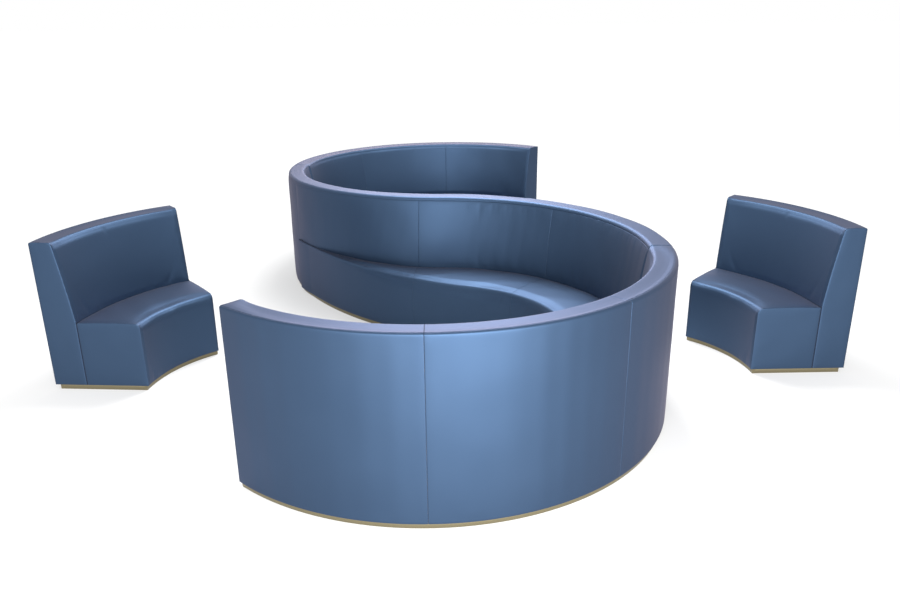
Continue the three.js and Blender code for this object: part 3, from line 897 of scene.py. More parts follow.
def back_outline(stations):
    """A back rest's outside, from under the outer panel's roll over the cap to the deck."""
    outer_round = stations["outer_round"]
    points = [(skin - half_wall, frame_top + fit_gap)]
    points += rounded((outer_round - half_wall, sofa_height - outer_round), outer_round - skin,
                      180, 90, hidden_steps)
    hidden = len(points)
    seam = (outer_round - half_wall, sofa_height)
    round_foot = sofa_height - cap_inner_round
    edge = crowned_face(stations, round_foot) - cap_inner_round
    cap_width = half_wall * 2 - cap_outer_round - cap_inner_round
    points.append(seam)
    points += straight(seam, (edge, sofa_height),
                       close_shares(cap_width, face_step, True, False))
    points += rounded((edge, round_foot), cap_inner_round, 90, 0, inner_round_steps)
    run = round_foot - seat_height
    heights = [round_foot - run * share for share in even_shares(run, face_step)]
    points += [(crowned_face(stations, height), height) for height in heights]
    foot = crowned_face(stations, seat_height)
    points.append((foot, seat_height))
    points += straight((foot, seat_height), (foot, above_deck), deck_shares)
    return points, hidden


def back_inside(stations, foam_thick, first):
    def face(height):
        return flat_face(stations, height) - skin - foam_thick
    top = frame_top + fit_gap
    return [(first, top), (face(top), top), (face(seat_height), seat_height),
            (face(above_deck), above_deck)]


def back_lift(stations, grid, hidden, seams, ends, chance):
    """How far each point of a back rest stands off its plain outline."""
    along, around, scale = measured(stations, grid)
    from_top = around - around[:, [hidden]]
    height = grid[..., 2]
    on_face = smooth_step(sofa_height - height, *face_fade)
    above_foot = smooth_step(height, *foot_fade)
    crisp = stations["crisp"][:, None]
    lift = back_swell_rise * swell(along, around, chance, *swell_lengths) * on_face * above_foot
    for seam in seams:
        gap = (stations["place"] - seam)[:, None] * scale
        lift -= roll(gap, seam_depth, seam_width)
        lift -= puckers(around, gap, chance, **seam_puckers)
        fold = np.cos(2 * np.pi * (np.abs(gap) - fold_start) / chance.uniform(*fold_pitches))
        uneven = (1 - fold_steady_share) * wave(around, chance, *fold_lengths)
        fade = np.exp(-np.abs(gap) / fold_reach) * (fold_steady_share + uneven)
        lift -= fold_depth * (0.5 - 0.5 * fold) * fade * on_face
    lift -= puckers(along, from_top, chance, **edge_puckers) * crisp
    lift -= roll(from_top, edge_depth, edge_width) * crisp
    for end, from_end in zip(ends, (along, along[-1:] - along)):
        lift -= roll(from_end, *end)
        if end == joint_end:
            lift -= roll(from_end, joint_groove_depth, joint_groove_width) * on_face
    lift[:, :hidden] = 0
    return lift


def settled_back(stations):
    outline, hidden = back_outline(stations)
    grid = placed(stations, outline)
    return settled(grid, [0, len(grid) - 1], [hidden, grid.shape[1] - 1 - foot_rows])


def back_rest(prefix, body, stations, swelling, seams, ends, seed):
    chance = np.random.default_rng(seed)
    outline, hidden = back_outline(stations)
    grid = placed(stations, outline)
    normal = facing(grid)
    lift = swelling + back_lift(stations, grid, hidden, seams, ends, chance)
    outer = grid + normal * lift[..., None]
    keep_seam(body, outer[:, hidden], normal[:, hidden])
    for index in nearest(stations, seams):
        keep_seam(body, outer[index, hidden:-foot_rows], normal[index, hidden:-foot_rows])
    picks = every(len(grid), inner_columns)
    coarse = at(stations, picks)
    inner = placed(coarse, back_inside(coarse, back_foam_thick, skin - half_wall))
    rows = grid.shape[1]
    row_picks = np.array((0, 1, rows - 1 - foot_rows, rows - 1))
    piece = shell(f"{prefix}_back_rest", outer, inner, picks, row_picks, (leather, foam), (0, 1))
    finish_piece(piece, body, (f"{prefix}_back_cover", f"{prefix}_back_foam"))


def with_rounds(stations):
    """The stations with the round of the cap's outer edge, which softens towards the joint."""
    share = smooth_step(stations["place"], end_length * softening_start_share, end_length)
    rounds = cap_outer_round + (cap_joint_round - cap_outer_round) * share
    return {**stations, "outer_round": rounds, "crisp": 1 - softened_share * share}


end_panels = 3
end_seams = np.linspace(0, end_length, end_panels + 1)
end_places = spread(0, end_length, end_seams, column_step)
end_stations = trimmed(arc_stations(end_places, front_end_angle, end_seams, front_centre),
                       skin, joint_gap / 2)
end_stations = with_rounds(end_stations)
loose_places = spread(0, loose_length, (0, loose_length), column_step)
loose_stations = trimmed(arc_stations(loose_places, -loose_arc / 2, (0, loose_length)),
                         skin, skin)
loose_stations["outer_round"] = np.full(len(loose_places), cap_outer_round)
loose_stations["crisp"] = np.ones(len(loose_places))
bowls = (
    {"stands": end_modules, "stations": end_stations, "seams": end_seams[1:-1],
     "ends": (free_end, joint_end)},
    {"stands": loose_seats, "stations": loose_stations, "seams": (),
     "ends": (free_end, free_end)},
)
for bowl, first_seed in zip(bowls, back_seeds):
    swelling = settled_back(bowl["stations"])
    for seed, (prefix, stand) in enumerate(bowl["stands"].items(), first_seed):
        back_rest(prefix, stand["body"], stood(bowl["stations"], stand), swelling,
                  bowl["seams"], bowl["ends"], seed)

# Middle wall: foam on both faces of the S's carcass, each under its own sewn cover. Past the
# end of a seat the cover runs right down and is stapled under the base.
wall_foam_thick = 0.020
cap_seam_drop = 0.026
base_height = plinth_height + fit_gap
hem_drop = 0.0020
hem_wrap = 0.009
hem_round = 0.0020
hem_steps = 3
front_steps = 38
below_rows = front_steps + hem_steps + 1
wall_seed = 31
wall_swell_rise = 0.0012
wall_wave_lengths = (0.09, 0.17)
wall_wave_rise = 0.0004
wall_face_fade = (0.030, 0.080)
wall_edge_puckers = {**edge_puckers, "reach": 0.012}
corner_pull_depth = 0.0016
corner_pull_reach = 0.030
tip_groove_depth = 0.0125
tip_groove_width = 0.0200
tip_groove_fade = (seat_height + 0.002, seat_height - 0.006)
past_taper_run = 0.050


def wall_foot(stations):
    past_seat = stations["place"] > taper_place + 1e-6
    return np.where(past_seat, base_height - hem_drop, above_deck)


def down_to_hem(face, top, foot):
    """Outline points from the top of a face down, round the hem and in under the base."""
    corner = foot + hem_round
    points = straight((face, top), (face, corner), np.linspace(0, 1, front_steps + 1)[1:])
    points += rounded((face - hem_round, corner), hem_round, 0, -90, hem_steps)[1:]
    return points + [(face - hem_wrap, foot)]


def wall_outline(stations):
    """A face of the middle wall, from under the cap to the deck or the hem."""
    top = sofa_height - skin
    under_round = cap_inner_round - skin
    edge = crowned_face(stations, top - under_round) - skin - under_round
    points = [(fit_gap / 2, top)]
    points += rounded((edge, top - under_round), under_round, 90, 0, hidden_steps)
    hidden = len(points)
    seam = sofa_height - cap_seam_drop - fit_gap
    run = seam - seat_height
    heights = [seam - run * share for share in (0, *close_shares(run, face_step, True, False))]
    points += [(crowned_face(stations, height), height) for height in heights]
    face = crowned_face(stations, seat_height)
    points.append((face, seat_height))
    return points + down_to_hem(face, seat_height, wall_foot(stations)), hidden


def wall_lift(stations, grid, hidden, chance):
    """How far each point of a wall cover stands off its plain outline."""
    along, around, scale = measured(stations, grid)
    from_top = around - around[:, [hidden]]
    height = grid[..., 2]
    on_face = smooth_step(sofa_height - height, *wall_face_fade)
    lift = wall_swell_rise * swell(along, around, chance, *swell_lengths) * on_face
    lift += wall_wave_rise * wave(along, chance, *wall_wave_lengths) * on_face
    for seam in middle_seams:
        gap = (stations["place"] - seam)[:, None] * scale
        lift -= roll(gap, seam_depth, seam_width)
        lift -= puckers(around, gap, chance, **seam_puckers)
        lift -= corner_pull_depth * np.exp(-np.hypot(gap, from_top) / corner_pull_reach)
    lift -= puckers(along, from_top, chance, **wall_edge_puckers)
    lift -= roll(from_top, edge_depth, edge_width)
    past_seat = (stations["place"] - taper_place)[:, None] * scale
    below_seat = smooth_step(height, *tip_groove_fade)
    lift -= roll(past_seat, tip_groove_depth, tip_groove_width) * below_seat
    for from_end in (along, along[-1:] - along):
        lift -= roll(from_end, *joint_end)
    lift -= roll(along, joint_groove_depth, joint_groove_width) * on_face
    lift[:, :hidden] = 0
    return lift


def settled_wall(stations):
    """The wall cover's swelling: held at the seat's height, and past the seat at the hem."""
    outline, hidden = wall_outline(stations)
    grid = placed(stations, outline)
    rows = grid.shape[1]
    marks = [0, *nearest(stations, (taper_place,)), len(grid) - 1]
    above_seat = settled(grid, marks, [hidden, rows - 1 - below_rows])
    down_to_foot = settled(grid, marks, [hidden, rows - 1 - hem_steps])
    past_taper = smooth_step(stations["place"], taper_place, taper_place + past_taper_run)
    past_taper = past_taper[:, None]
    return above_seat * (1 - past_taper) + down_to_foot * past_taper


def middle_wall(side, stations, swelling, seed):
    chance = np.random.default_rng(seed)
    outline, hidden = wall_outline(stations)
    grid = placed(stations, outline)
    normal = facing(grid)
    lift = swelling + wall_lift(stations, grid, hidden, chance)
    outer = grid + normal * lift[..., None]
    rows = grid.shape[1]
    seat_row = rows - 1 - below_rows
    keep_seam("middle_module", outer[:, hidden], normal[:, hidden])
    for index in nearest(stations, middle_seams):
        keep_seam("middle_module", outer[index, hidden:seat_row], normal[index, hidden:seat_row])
    taper_index = nearest(stations, (taper_place,))[0]
    picks = np.unique((*every(len(grid), inner_columns), taper_index, taper_index + 1))
    coarse = at(stations, picks)
    inside = back_inside(coarse, wall_foam_thick, fit_gap / 2)
    inside[-1] = (inside[-1][0], np.maximum(wall_foot(coarse), base_height))
    inner = placed(coarse, inside)
    row_picks = np.array((0, 1, seat_row, rows - 1))
    piece = shell(f"middle_wall_{side}", outer, inner, picks, row_picks, (leather, foam), (0, 1))
    finish_piece(piece, "middle_module", (f"middle_wall_cover_{side}",
                                          f"middle_wall_foam_{side}"))


middle_seams = np.array([turn_place(turn) for turn in middle_seam_turns])
wall_places = spread(-middle_length, middle_length,
                     (-middle_length, *middle_seams, taper_place, middle_length), column_step)
wall_stations = trimmed(middle_stations(wall_places), joint_gap / 2, joint_gap / 2)
wall_swelling = settled_wall(wall_stations)
for seed, (side, degrees) in enumerate(sides.items(), wall_seed):
    middle_wall(side, turned(wall_stations, degrees), wall_swelling, seed)

# Middle cap: a strip of faux leather over a thin wadding, soft at both edges, sewn to the two
# wall covers a little way down each face.
cap_thick = 0.0025
cap_round_steps = 12
cap_inner_steps = 3
cap_top_steps = 12
cap_inner_columns = 5
cap_seed = 41
cap_swell_rise = 0.0007
cap_swell_lengths = (0.15, 0.50)
cap_puckers = {**edge_puckers, "depth": 0.0006, "reach": 0.012}
thin_edge = (edge_depth - 0.0002, edge_width)
least_cap_lift = 0.0001 - edge_depth


def cap_half(stations, depth, steps):
    """One side of the cap's outline, over its round and down to the seam on the face."""
    seam = sofa_height - cap_seam_drop
    radius = cap_inner_round - depth
    top = sofa_height - depth
    face = crowned_face(stations, top - radius) - depth
    points = rounded((face - radius, top - radius), radius, 90, 0, steps)
    return points + [(crowned_face(stations, seam) - depth, seam)]


def cap_outline(stations, depth, steps, between):
    other = {**stations, "rake": stations["other_rake"], "plump": stations["other_plump"]}
    far = [(-u, z) for u, z in reversed(cap_half(other, depth, steps))]
    near = cap_half(stations, depth, steps)
    return far + straight(far[-1], near[0], between) + near


cap_places = spread(-middle_length, middle_length, (-middle_length, middle_length), column_step)
cap_stations = turned(trimmed(two_sided(cap_places), joint_gap / 2, joint_gap / 2), 0)
cap_chance = np.random.default_rng(cap_seed)
cap_top_shares = np.linspace(0, 1, cap_top_steps + 1)[1:-1]
cap_grid = placed(cap_stations, cap_outline(cap_stations, 0, cap_round_steps, cap_top_shares))
cap_along = distances(cap_grid, 0)
cap_around = distances(cap_grid, 1)
cap_lift = cap_swell_rise * swell(cap_along, cap_around, cap_chance, *cap_swell_lengths)
for from_seam in (cap_around, cap_around[:, -1:] - cap_around):
    cap_lift -= roll(from_seam, *thin_edge)
    cap_lift -= puckers(cap_along, from_seam, cap_chance, **cap_puckers)
for from_end in (cap_along, cap_along[-1:] - cap_along):
    cap_lift -= roll(from_end, edge_depth, joint_roll_width)
cap_lift = np.maximum(cap_lift, least_cap_lift)
cap_outer = cap_grid + facing(cap_grid) * cap_lift[..., None]
cap_picks = every(len(cap_places), cap_inner_columns)
cap_coarse = at(cap_stations, cap_picks)
cap_inner = placed(cap_coarse, cap_outline(cap_coarse, cap_thick, cap_inner_steps, (0.5,)))
cap_rows = cap_grid.shape[1]
near_picks = np.append(0, np.arange(1, cap_round_steps + 2, cap_round_steps // cap_inner_steps))
cap_row_picks = np.concatenate((near_picks, (cap_rows // 2,), cap_rows - 1 - near_picks[::-1]))
cap = shell("middle_cap", cap_outer, cap_inner, cap_picks, cap_row_picks, (leather,))
finish_piece(cap, "middle_module", ("middle_wall_cap",))

# Seats: thick foam on the deck and a thin layer down the front, under a sewn cover that goes
# into the crease at the back, round the front edge and under the base, where it is stapled.
fascia_foam_thick = 0.010
least_foam_thick = 0.00075
foam_sunk = 0.0001
seat_front_round = 0.034
narrow_front_round = 0.005
front_round_share = 0.085
seat_back_round = 0.011
narrow_back_round = 0.002
back_round_share = 0.12
seat_crown = 0.008
full_crown_width = 0.200
up_shares = (0.35, 0.7)
back_round_steps = 7
top_steps = 39
front_round_steps = 10
crease_row = len(up_shares) + back_round_steps + 1
seat_seeds = (51, 61)
middle_seat_seed = 71
seat_swell_lengths = (0.20, 0.55)
top_swell_rise = 0.0016
front_swell_rise = 0.0008
broad_widths = (0.030, 0.200)
settled_widths = (0.020, 0.150)
top_fade = (seat_height - 0.050, seat_height - 0.020)
crease_puckers = {"shortest": 0.022, "longest": 0.050, "depth": 0.0012, "reach": 0.022}
seat_puckers = {"shortest": 0.020, "longest": 0.045, "depth": 0.0009, "reach": 0.018}
tip_stuffing = 0.011
tip_stuffing_run = 0.40
tip_end = (0.0085, 0.010)


def seat_outline(stations):
    """A seat's outside, from the deck up its back, over the top and down to the hem."""
    back = crowned_face(stations, seat_height) + fit_gap
    front = stations["front"]
    width = front - back
    radius = np.minimum(seat_front_round, narrow_front_round + front_round_share * width)
    radius = np.minimum(radius, width / 2)
    back_radius = np.minimum(seat_back_round, narrow_back_round + back_round_share * width)
    crown = seat_crown * np.minimum(1, width / full_crown_width) ** 2

    def height_at(place):
        share = (place - back) / (front - radius - back)
        slack = crown * (1 - stations["plump"]) * 4 * share * (1 - share)
        return seat_height - crown * (2 * share - 1) ** 2 - slack
    round_foot = height_at(back + back_radius) - back_radius
    points = [(back, above_deck)]
    points += straight((back, above_deck), (back, round_foot), up_shares)
    points += rounded((back + back_radius, round_foot), back_radius, 180, 90, back_round_steps)
    edge = front - radius
    for share in np.linspace(0, 1, top_steps + 1)[1:-1]:
        place = back + back_radius + (edge - back - back_radius) * share
        points.append((place, height_at(place)))
    round_foot = height_at(edge) - radius
    points += rounded((edge, round_foot), radius, 90, 0, front_round_steps)
    return points + down_to_hem(front, round_foot, base_height - hem_drop)


def seat_inside(stations):
    back = crowned_face(stations, seat_height) + fit_gap
    front = np.maximum(stations["front"] - skin - fascia_foam_thick, back + least_foam_thick)
    deck = above_deck - foam_sunk
    return [(back, deck), (front, deck), (front, base_height)]


def seat_width(stations):
    return stations["front"] - crowned_face(stations, seat_height)


def seat_lift(stations, grid, seams, ends, chance):
    """How far each point of a seat stands off its plain outline."""
    along, around, scale = measured(stations, grid)
    broad = smooth_step(seat_width(stations), *broad_widths)[:, None]
    on_top = smooth_step(grid[..., 2], *top_fade)
    from_back = around - around[:, [crease_row]]
    lift = top_swell_rise * swell(along, around, chance, *seat_swell_lengths) * broad * on_top
    lift += (front_swell_rise * swell(along, around, chance, *seat_swell_lengths) * broad
             * (1 - on_top))
    lift -= puckers(along, from_back, chance, **crease_puckers) * broad
    for seam in seams:
        gap = (stations["place"] - seam)[:, None] * scale
        lift -= roll(gap, seam_depth, seam_width)
        lift -= puckers(around, gap, chance, **seat_puckers)
    for end, from_end in zip(ends, (along, along[-1:] - along)):
        lift -= roll(from_end, *end)
    return lift


def settled_seat(stations):
    grid = placed(stations, seat_outline(stations))
    broad = smooth_step(seat_width(stations), *settled_widths)[:, None]
    rows = grid.shape[1]
    return settled(grid, [0, len(grid) - 1], [crease_row, rows - 1 - hem_steps]) * broad


def seat_pad(name, body, stations, swelling, seams, ends, nodes, seed):
    chance = np.random.default_rng(seed)
    grid = placed(stations, seat_outline(stations))
    normal = facing(grid)
    lift = swelling + seat_lift(stations, grid, seams, ends, chance)
    outer = grid + normal * lift[..., None]
    rows = grid.shape[1]
    for index in nearest(stations, seams):
        sewn = slice(crease_row, rows - hem_steps)
        keep_seam(body, outer[index, sewn], normal[index, sewn])
    picks = every(len(grid), inner_columns)
    coarse = at(stations, picks)
    inner = placed(coarse, seat_inside(coarse))
    row_picks = np.array((0, rows - below_rows + 2, rows - 1))
    piece = shell(name, outer, inner, picks, row_picks, (leather, foam), (0, 1))
    finish_piece(piece, body, nodes)


for bowl, first_seed in zip(bowls, seat_seeds):
    swelling = settled_seat(bowl["stations"])
    for seed, (prefix, stand) in enumerate(bowl["stands"].items(), first_seed):
        seat_pad(f"{prefix}_seat_pad", stand["body"], stood(bowl["stations"], stand), swelling,
                 bowl["seams"], bowl["ends"],
                 (f"{prefix}_seat_cover", f"{prefix}_seat_foam"), seed)
taper_marks = (-middle_length, *middle_seams, taper_place)
taper_places = spread(-middle_length, taper_place, taper_marks, column_step)
taper_stations = trimmed(middle_stations(taper_places), joint_gap / 2, 0)
near_tip = smooth_step(taper_stations["place"], taper_place - tip_stuffing_run, taper_place)
taper_stations["front"] = taper_stations["front"] + tip_stuffing * near_tip
taper_swelling = settled_seat(taper_stations)
for seed, (side, degrees) in enumerate(sides.items(), middle_seat_seed):
    seat_pad(f"middle_seat_pad_{side}", "middle_module", turned(taper_stations, degrees),
             taper_swelling, middle_seams, (joint_end, tip_end),
             (f"middle_seat_cover_{side}", f"middle_seat_foam_{side}"), seed)

# Outside panels: faux leather over thin wadding on the carcass's bent outer skin, sewn to the
# back rest's cover along the cap and stapled under the base. The end modules have three.
panel_thick = 0.0025
panel_round_steps = 8
panel_inner_steps = 3
panel_inner_step = 0.200
panel_inner_columns = 6
panel_seed = 81
panel_seeds_apart = 10
loose_panel_seed = 101
panel_bulge = 0.0009
panel_wave_rise = 0.0005
panel_swell_rise = 0.0006
panel_swell_lengths = (0.25, 0.60)
panel_top_fade = (0.000, 0.060)
panel_foot_fade = (0.010, 0.060)
panel_side_puckers = {**seam_puckers, "depth": 0.0006, "reach": 0.014}
panel_top_puckers = {**edge_puckers, "depth": 0.0010, "reach": 0.012}
least_panel_lift = -0.0023


def panel_outline(stations, depth, step, steps):
    """An outside panel's outline at a depth in it, from under the base up to the cap's seam."""
    outer_round = stations["outer_round"]
    outside = depth - half_wall
    foot = base_height - hem_drop + min(depth, hem_drop - fit_gap)
    corner = max(hem_round - depth, 0.0)
    corner_steps = hem_steps if corner else 0
    start = foot + corner
    points = [(hem_wrap - half_wall, foot)]
    points += rounded((outside + corner, start), corner, -90, -180, corner_steps)
    points += straight((outside, start), (outside, sofa_height - outer_round),
                       even_shares(sofa_height - cap_outer_round - start, step))
    points += rounded((outer_round - half_wall, sofa_height - outer_round), outer_round - depth,
                      180, 90, steps)
    return points


def panel_lift(stations, grid, chance):
    """How far each point of an outside panel stands off its plain outline."""
    along = distances(grid, 0)
    around = distances(grid, 1)
    to_top = around[:, -1:] - around
    crisp = stations["crisp"][:, None]
    inside = smooth_step(to_top, *panel_top_fade) * smooth_step(around, *panel_foot_fade)
    lift = panel_bulge * np.sin(np.pi * (along / along[-1:])) ** 0.5
    lift = lift + panel_wave_rise * wave(along, chance, *wall_wave_lengths) * inside
    lift = lift + panel_swell_rise * swell(along, around, chance, *panel_swell_lengths) * inside
    for from_end in (along, along[-1:] - along):
        lift -= roll(from_end, *thin_edge)
        lift -= puckers(around, from_end, chance, **panel_side_puckers)
    lift -= roll(to_top, edge_depth, edge_width) * crisp
    lift -= puckers(along, to_top, chance, **panel_top_puckers) * crisp
    return np.maximum(lift, least_panel_lift)


def outer_panel(node, body, stations, sewn_on, seed):
    chance = np.random.default_rng(seed)
    grid = placed(stations, panel_outline(stations, 0, face_step, panel_round_steps))
    normal = facing(grid)
    outer = grid + normal * panel_lift(stations, grid, chance)[..., None]
    if sewn_on:
        keep_seam(body, outer[-1], normal[-1])
    picks = every(len(grid), panel_inner_columns)
    coarse = at(stations, picks)
    inner = placed(coarse, panel_outline(coarse, panel_thick, panel_inner_step,
                                         panel_inner_steps))
    round_row = grid.shape[1] - 1 - panel_round_steps
    inner_run = inner.shape[1] - 3 - panel_inner_steps
    run_rows = np.linspace(hem_steps + 2, round_row - 1, inner_run).astype(int)
    round_rows = round_row + np.array((0, 3, 6, panel_round_steps))
    row_picks = np.array((0, 2, *run_rows, *round_rows))
    piece = shell(f"{node}_cover", outer, inner, picks, row_picks, (leather,))
    finish_piece(piece, body, (node,))


for number in range(end_panels):
    start, end = end_seams[number], end_seams[number + 1]
    panel_places = spread(start, end, (start, end), column_step)
    panel_stations = arc_stations(panel_places, front_end_angle, end_seams, front_centre)
    free_start = skin if number == 0 else fit_gap / 2
    free_stop = joint_gap / 2 if number == end_panels - 1 else fit_gap / 2
    panel_stations = with_rounds(trimmed(panel_stations, free_start, free_stop))
    for turn, (prefix, stand) in enumerate(end_modules.items()):
        outer_panel(f"{prefix}_outer_panel_{number + 1}", stand["body"],
                    stood(panel_stations, stand), number < end_panels - 1,
                    panel_seed + panel_seeds_apart * turn + number)
for seed, (prefix, stand) in enumerate(loose_seats.items(), loose_panel_seed):
    outer_panel(f"{prefix}_outer_panel", stand["body"], stood(loose_stations, stand), False, seed)

# End panels: where a back rest and seat end free, two pieces of faux leather over wadding
# cover the end board, one for the back rest and one for the seat. Between them a groove runs
# from the crease to the hem, closed at its bottom by a strip that both are sewn to. The strip
# is near black: painted shade that makes the groove read dark.
end_groove_depth = 0.0023
end_groove_gap = 0.0025
end_groove_ahead = 0.0020
end_puff = 0.0022
end_puff_reach = 0.022
end_swell_rise = 0.0006
end_swell_lengths = (0.12, 0.35)
end_swell_fade = (0.000, 0.050)
end_puckers = {**seam_puckers, "depth": 0.0005, "reach": 0.010}
end_step = 0.012
end_column_share = 0.06
end_inner_columns = 4
end_seed = 111
loose_end_seed = 121
loose_end_seeds_apart = 10
shade_strip_half = 0.0060
shade_strip_sunk = 0.0015
shade_strip_thick = 0.0005
shade_strip_inset = 0.0020

# Painted shade: the groove's strip is near black so that the groove reads as a dark shadow line.
groove_shade, groove_shade_tree, groove_shade_shader = material_nodes("painted_groove_shade")
groove_shade_weave = noise(groove_shade_tree, object_place(groove_shade_tree, (1, 1, 3)), 900, 2)
set_inputs(groove_shade_shader, {
    "Base Color": colour_mix(groove_shade_tree, groove_shade_weave, (0.006, 0.010, 0.022),
                             (0.014, 0.022, 0.044)),
    "Roughness": 0.85,
    "Specular IOR Level": 0.2,
    "Normal": bump(groove_shade_tree, groove_shade_weave, 0.0003),
})


def end_lift(flat, chance):
    """How far one piece of an end cover stands off its flat grid of (across, up) points."""
    across = distances(flat, 1)
    up = distances(flat, 0)
    gaps = np.stack((across, across[:, -1:] - across, up, up[-1:] - up))
    from_edge = gaps.min(axis=0)
    inside = smooth_step(from_edge, *end_swell_fade)
    lift = end_puff * (1 - np.exp(-from_edge / end_puff_reach))
    lift += end_swell_rise * swell(across, up, chance, *end_swell_lengths) * inside
    lift -= puckers(up, from_edge, chance, **end_puckers)
    lift -= roll(from_edge, end_groove_depth, edge_width)
    return np.maximum(lift, -end_groove_depth)


def end_points(flat, lift, plane):
    """The points of a flat grid that stands on an end plane, lifted off it."""
    point, across, outwards = plane
    level = point + flat[..., [0]] * across + lift[..., None] * outwards
    return np.concatenate((level, flat[..., [1]]), axis=2)


def taken_in(levels, radius):
    """How far a round at the cap takes an edge in, at each level."""
    over = np.clip(levels - (sofa_height - radius), 0, radius)
    return radius - np.sqrt(np.maximum(radius ** 2 - over ** 2, 0))


def back_end_flat(here, groove):
    """The flat grid over the end of the back rest, from the hem to the cap."""
    foot = base_height - hem_drop
    levels = spread(foot, sofa_height, (foot, seat_height, sofa_height), end_step)
    shares = 0.5 - 0.5 * np.cos(np.pi * spread(0, 1, (), end_column_share))
    face = np.array([crowned_face(here, level)[0] for level in levels])
    outside = -half_wall + taken_in(levels, cap_outer_round)
    inside = np.where(levels < seat_height, groove - end_groove_gap, face)
    inside = inside - taken_in(levels, cap_inner_round)
    across = outside[:, None] + (inside - outside)[:, None] * shares
    return np.stack((across, np.broadcast_to(levels[:, None], across.shape)), axis=2)


def seat_end_flat(here, groove):
    """The flat grid over the end of the seat, from the hem to the seat's own outline."""
    foot = base_height - hem_drop
    front = here["front"][0]
    line = np.array([(np.ravel(u)[0], np.ravel(z)[0]) for u, z in seat_outline(here)])
    top_line = line[1 + len(up_shares):-below_rows]
    start = groove + end_groove_gap
    columns = spread(start, front, (start, front), end_step)
    heights = np.interp(columns, top_line[:, 0], top_line[:, 1])
    full_height = heights.max() - foot
    shares = spread(0, full_height, (0, full_height), end_step) / full_height
    up = foot + (heights - foot)[None, :] * shares[:, None]
    return np.stack((np.broadcast_to(columns[None, :], up.shape), up), axis=2)


def shade_strip_flat(groove):
    """The flat grid of the near-black strip at the bottom of the groove, which is painted shade.
    """
    foot = base_height - hem_drop
    up = spread(foot + shade_strip_inset, seat_height - shade_strip_inset, (), end_step)
    across = groove + np.array((-shade_strip_half, 0, shade_strip_half))
    return np.stack(np.meshgrid(across, up), axis=2)


def end_panel(name, body, stations, index, node, seed):
    chance = np.random.default_rng(seed)
    outwards = stations["along"][index] * (-1 if index == 0 else 1)
    plane = (stations["point"][index], stations["across"][index], outwards)
    here = at(stations, np.array([index]))
    groove = crowned_face(here, seat_height)[0] + end_groove_ahead
    parts = []
    for part, flat in enumerate((back_end_flat(here, groove), seat_end_flat(here, groove))):
        outer = end_points(flat, end_lift(flat, chance), plane)
        for line in (outer[:, 0], outer[:, -1], outer[-1])[part:]:
            keep_seam(body, line, np.append(outwards, 0))
        station_picks = every(flat.shape[0], end_inner_columns)
        row_picks = every(flat.shape[1], end_inner_columns)
        coarse = flat[station_picks][:, row_picks]
        inner = end_points(coarse, np.full(coarse.shape[:2], -panel_thick), plane)
        parts.append(shell(f"{name}_{part}", outer, inner, station_picks, row_picks,
                           (leather,)))
    # The near-black strip at the groove's bottom: painted shade in the groove.
    strip = shade_strip_flat(groove)
    levels = [np.full(strip.shape[:2], -shade_strip_sunk - below) for below in (0, shade_strip_thick)]
    outer, inner = (end_points(strip, level, plane) for level in levels)
    parts.append(shell(f"{name}_webbing", outer, inner, np.arange(len(strip)), np.arange(3),
                       (leather, groove_shade), (1, 1)))
    whole = bmesh.new()
    for part in parts:
        whole.from_mesh(part.data)
    joined = bpy.data.meshes.new(name)
    whole.to_mesh(joined)
    whole.free()
    joined.materials.append(leather)
    joined.materials.append(groove_shade)
    for part in parts:
        bpy.data.objects.remove(part)
    piece = bpy.data.objects.new(name, joined)
    bpy.context.scene.collection.objects.link(piece)
    finish_piece(piece, body, (node,))


ends = arc_stations(np.array((0.0, end_length)), front_end_angle, end_seams, front_centre)
for seed, (prefix, stand) in enumerate(end_modules.items(), end_seed):
    end_panel(f"{prefix}_end_cover", stand["body"], stood(ends, stand), 0,
              f"{prefix}_end_panel", seed)
loose_ends = arc_stations(np.array((0.0, loose_length)), -loose_arc / 2, (0, loose_length))
for turn, (prefix, stand) in enumerate(loose_seats.items()):
    for number, index in enumerate((0, -1)):
        end_panel(f"{prefix}_end_cover_{number + 1}", stand["body"], stood(loose_ends, stand),
                  index, f"{prefix}_end_panel_{number + 1}",
                  loose_end_seed + loose_end_seeds_apart * turn + number)

# Thread: bonded navy polyester in lockstitch, sunk in every seam between two panels. Each
# stitch shows as a short bead with a gap before the next.
stitch_pitch = 0.0060
stitch_length = 0.0036
stitch_thick = 0.0008
stitch_sides = 6
stitch_rings = 4

thread, thread_tree, thread_shader = material_nodes("navy_thread")
thread_twist = noise(thread_tree, object_place(thread_tree), 1400, 2)
set_inputs(thread_shader, {
    "Base Color": colour_mix(thread_tree, thread_twist, (0.020, 0.034, 0.075),
                             (0.042, 0.068, 0.130)),
    "Roughness": 0.6,
    "Normal": bump(thread_tree, thread_twist, 0.0001),
})

stitch_tree, stitch_in, stitch_out = node_tree(
    "stitches_along_seams",
    {"Seams": "Geometry", "Pitch": "Float", "Stitch": "Vector", "Finish": "Material"},
    "Stitches")
stitch_curve = stitch_tree.nodes.new("GeometryNodeMeshToCurve")
stitch_points = stitch_tree.nodes.new("GeometryNodeCurveToPoints")
stitch_points.mode = "LENGTH"
stitch_bead = stitch_tree.nodes.new("GeometryNodeMeshUVSphere")
set_inputs(stitch_bead, {"Segments": stitch_sides, "Rings": stitch_rings, "Radius": 0.5})
stitch_set = stitch_tree.nodes.new("GeometryNodeInstanceOnPoints")
wire(
    stitch_tree,
    ((stitch_in, "Seams"), (stitch_curve, "Mesh")),
    ((stitch_curve, "Curve"), (stitch_points, "Curve")),
    ((stitch_in, "Pitch"), (stitch_points, "Length")),
    ((stitch_points, "Points"), (stitch_set, "Points")),
    ((stitch_points, "Rotation"), (stitch_set, "Rotation")),
    ((stitch_bead, "Mesh"), (stitch_set, "Instance")),
    ((stitch_in, "Stitch"), (stitch_set, "Scale")),
)
finish_tree(stitch_tree, (stitch_set, "Instances"), stitch_in, stitch_out, "Stitches")
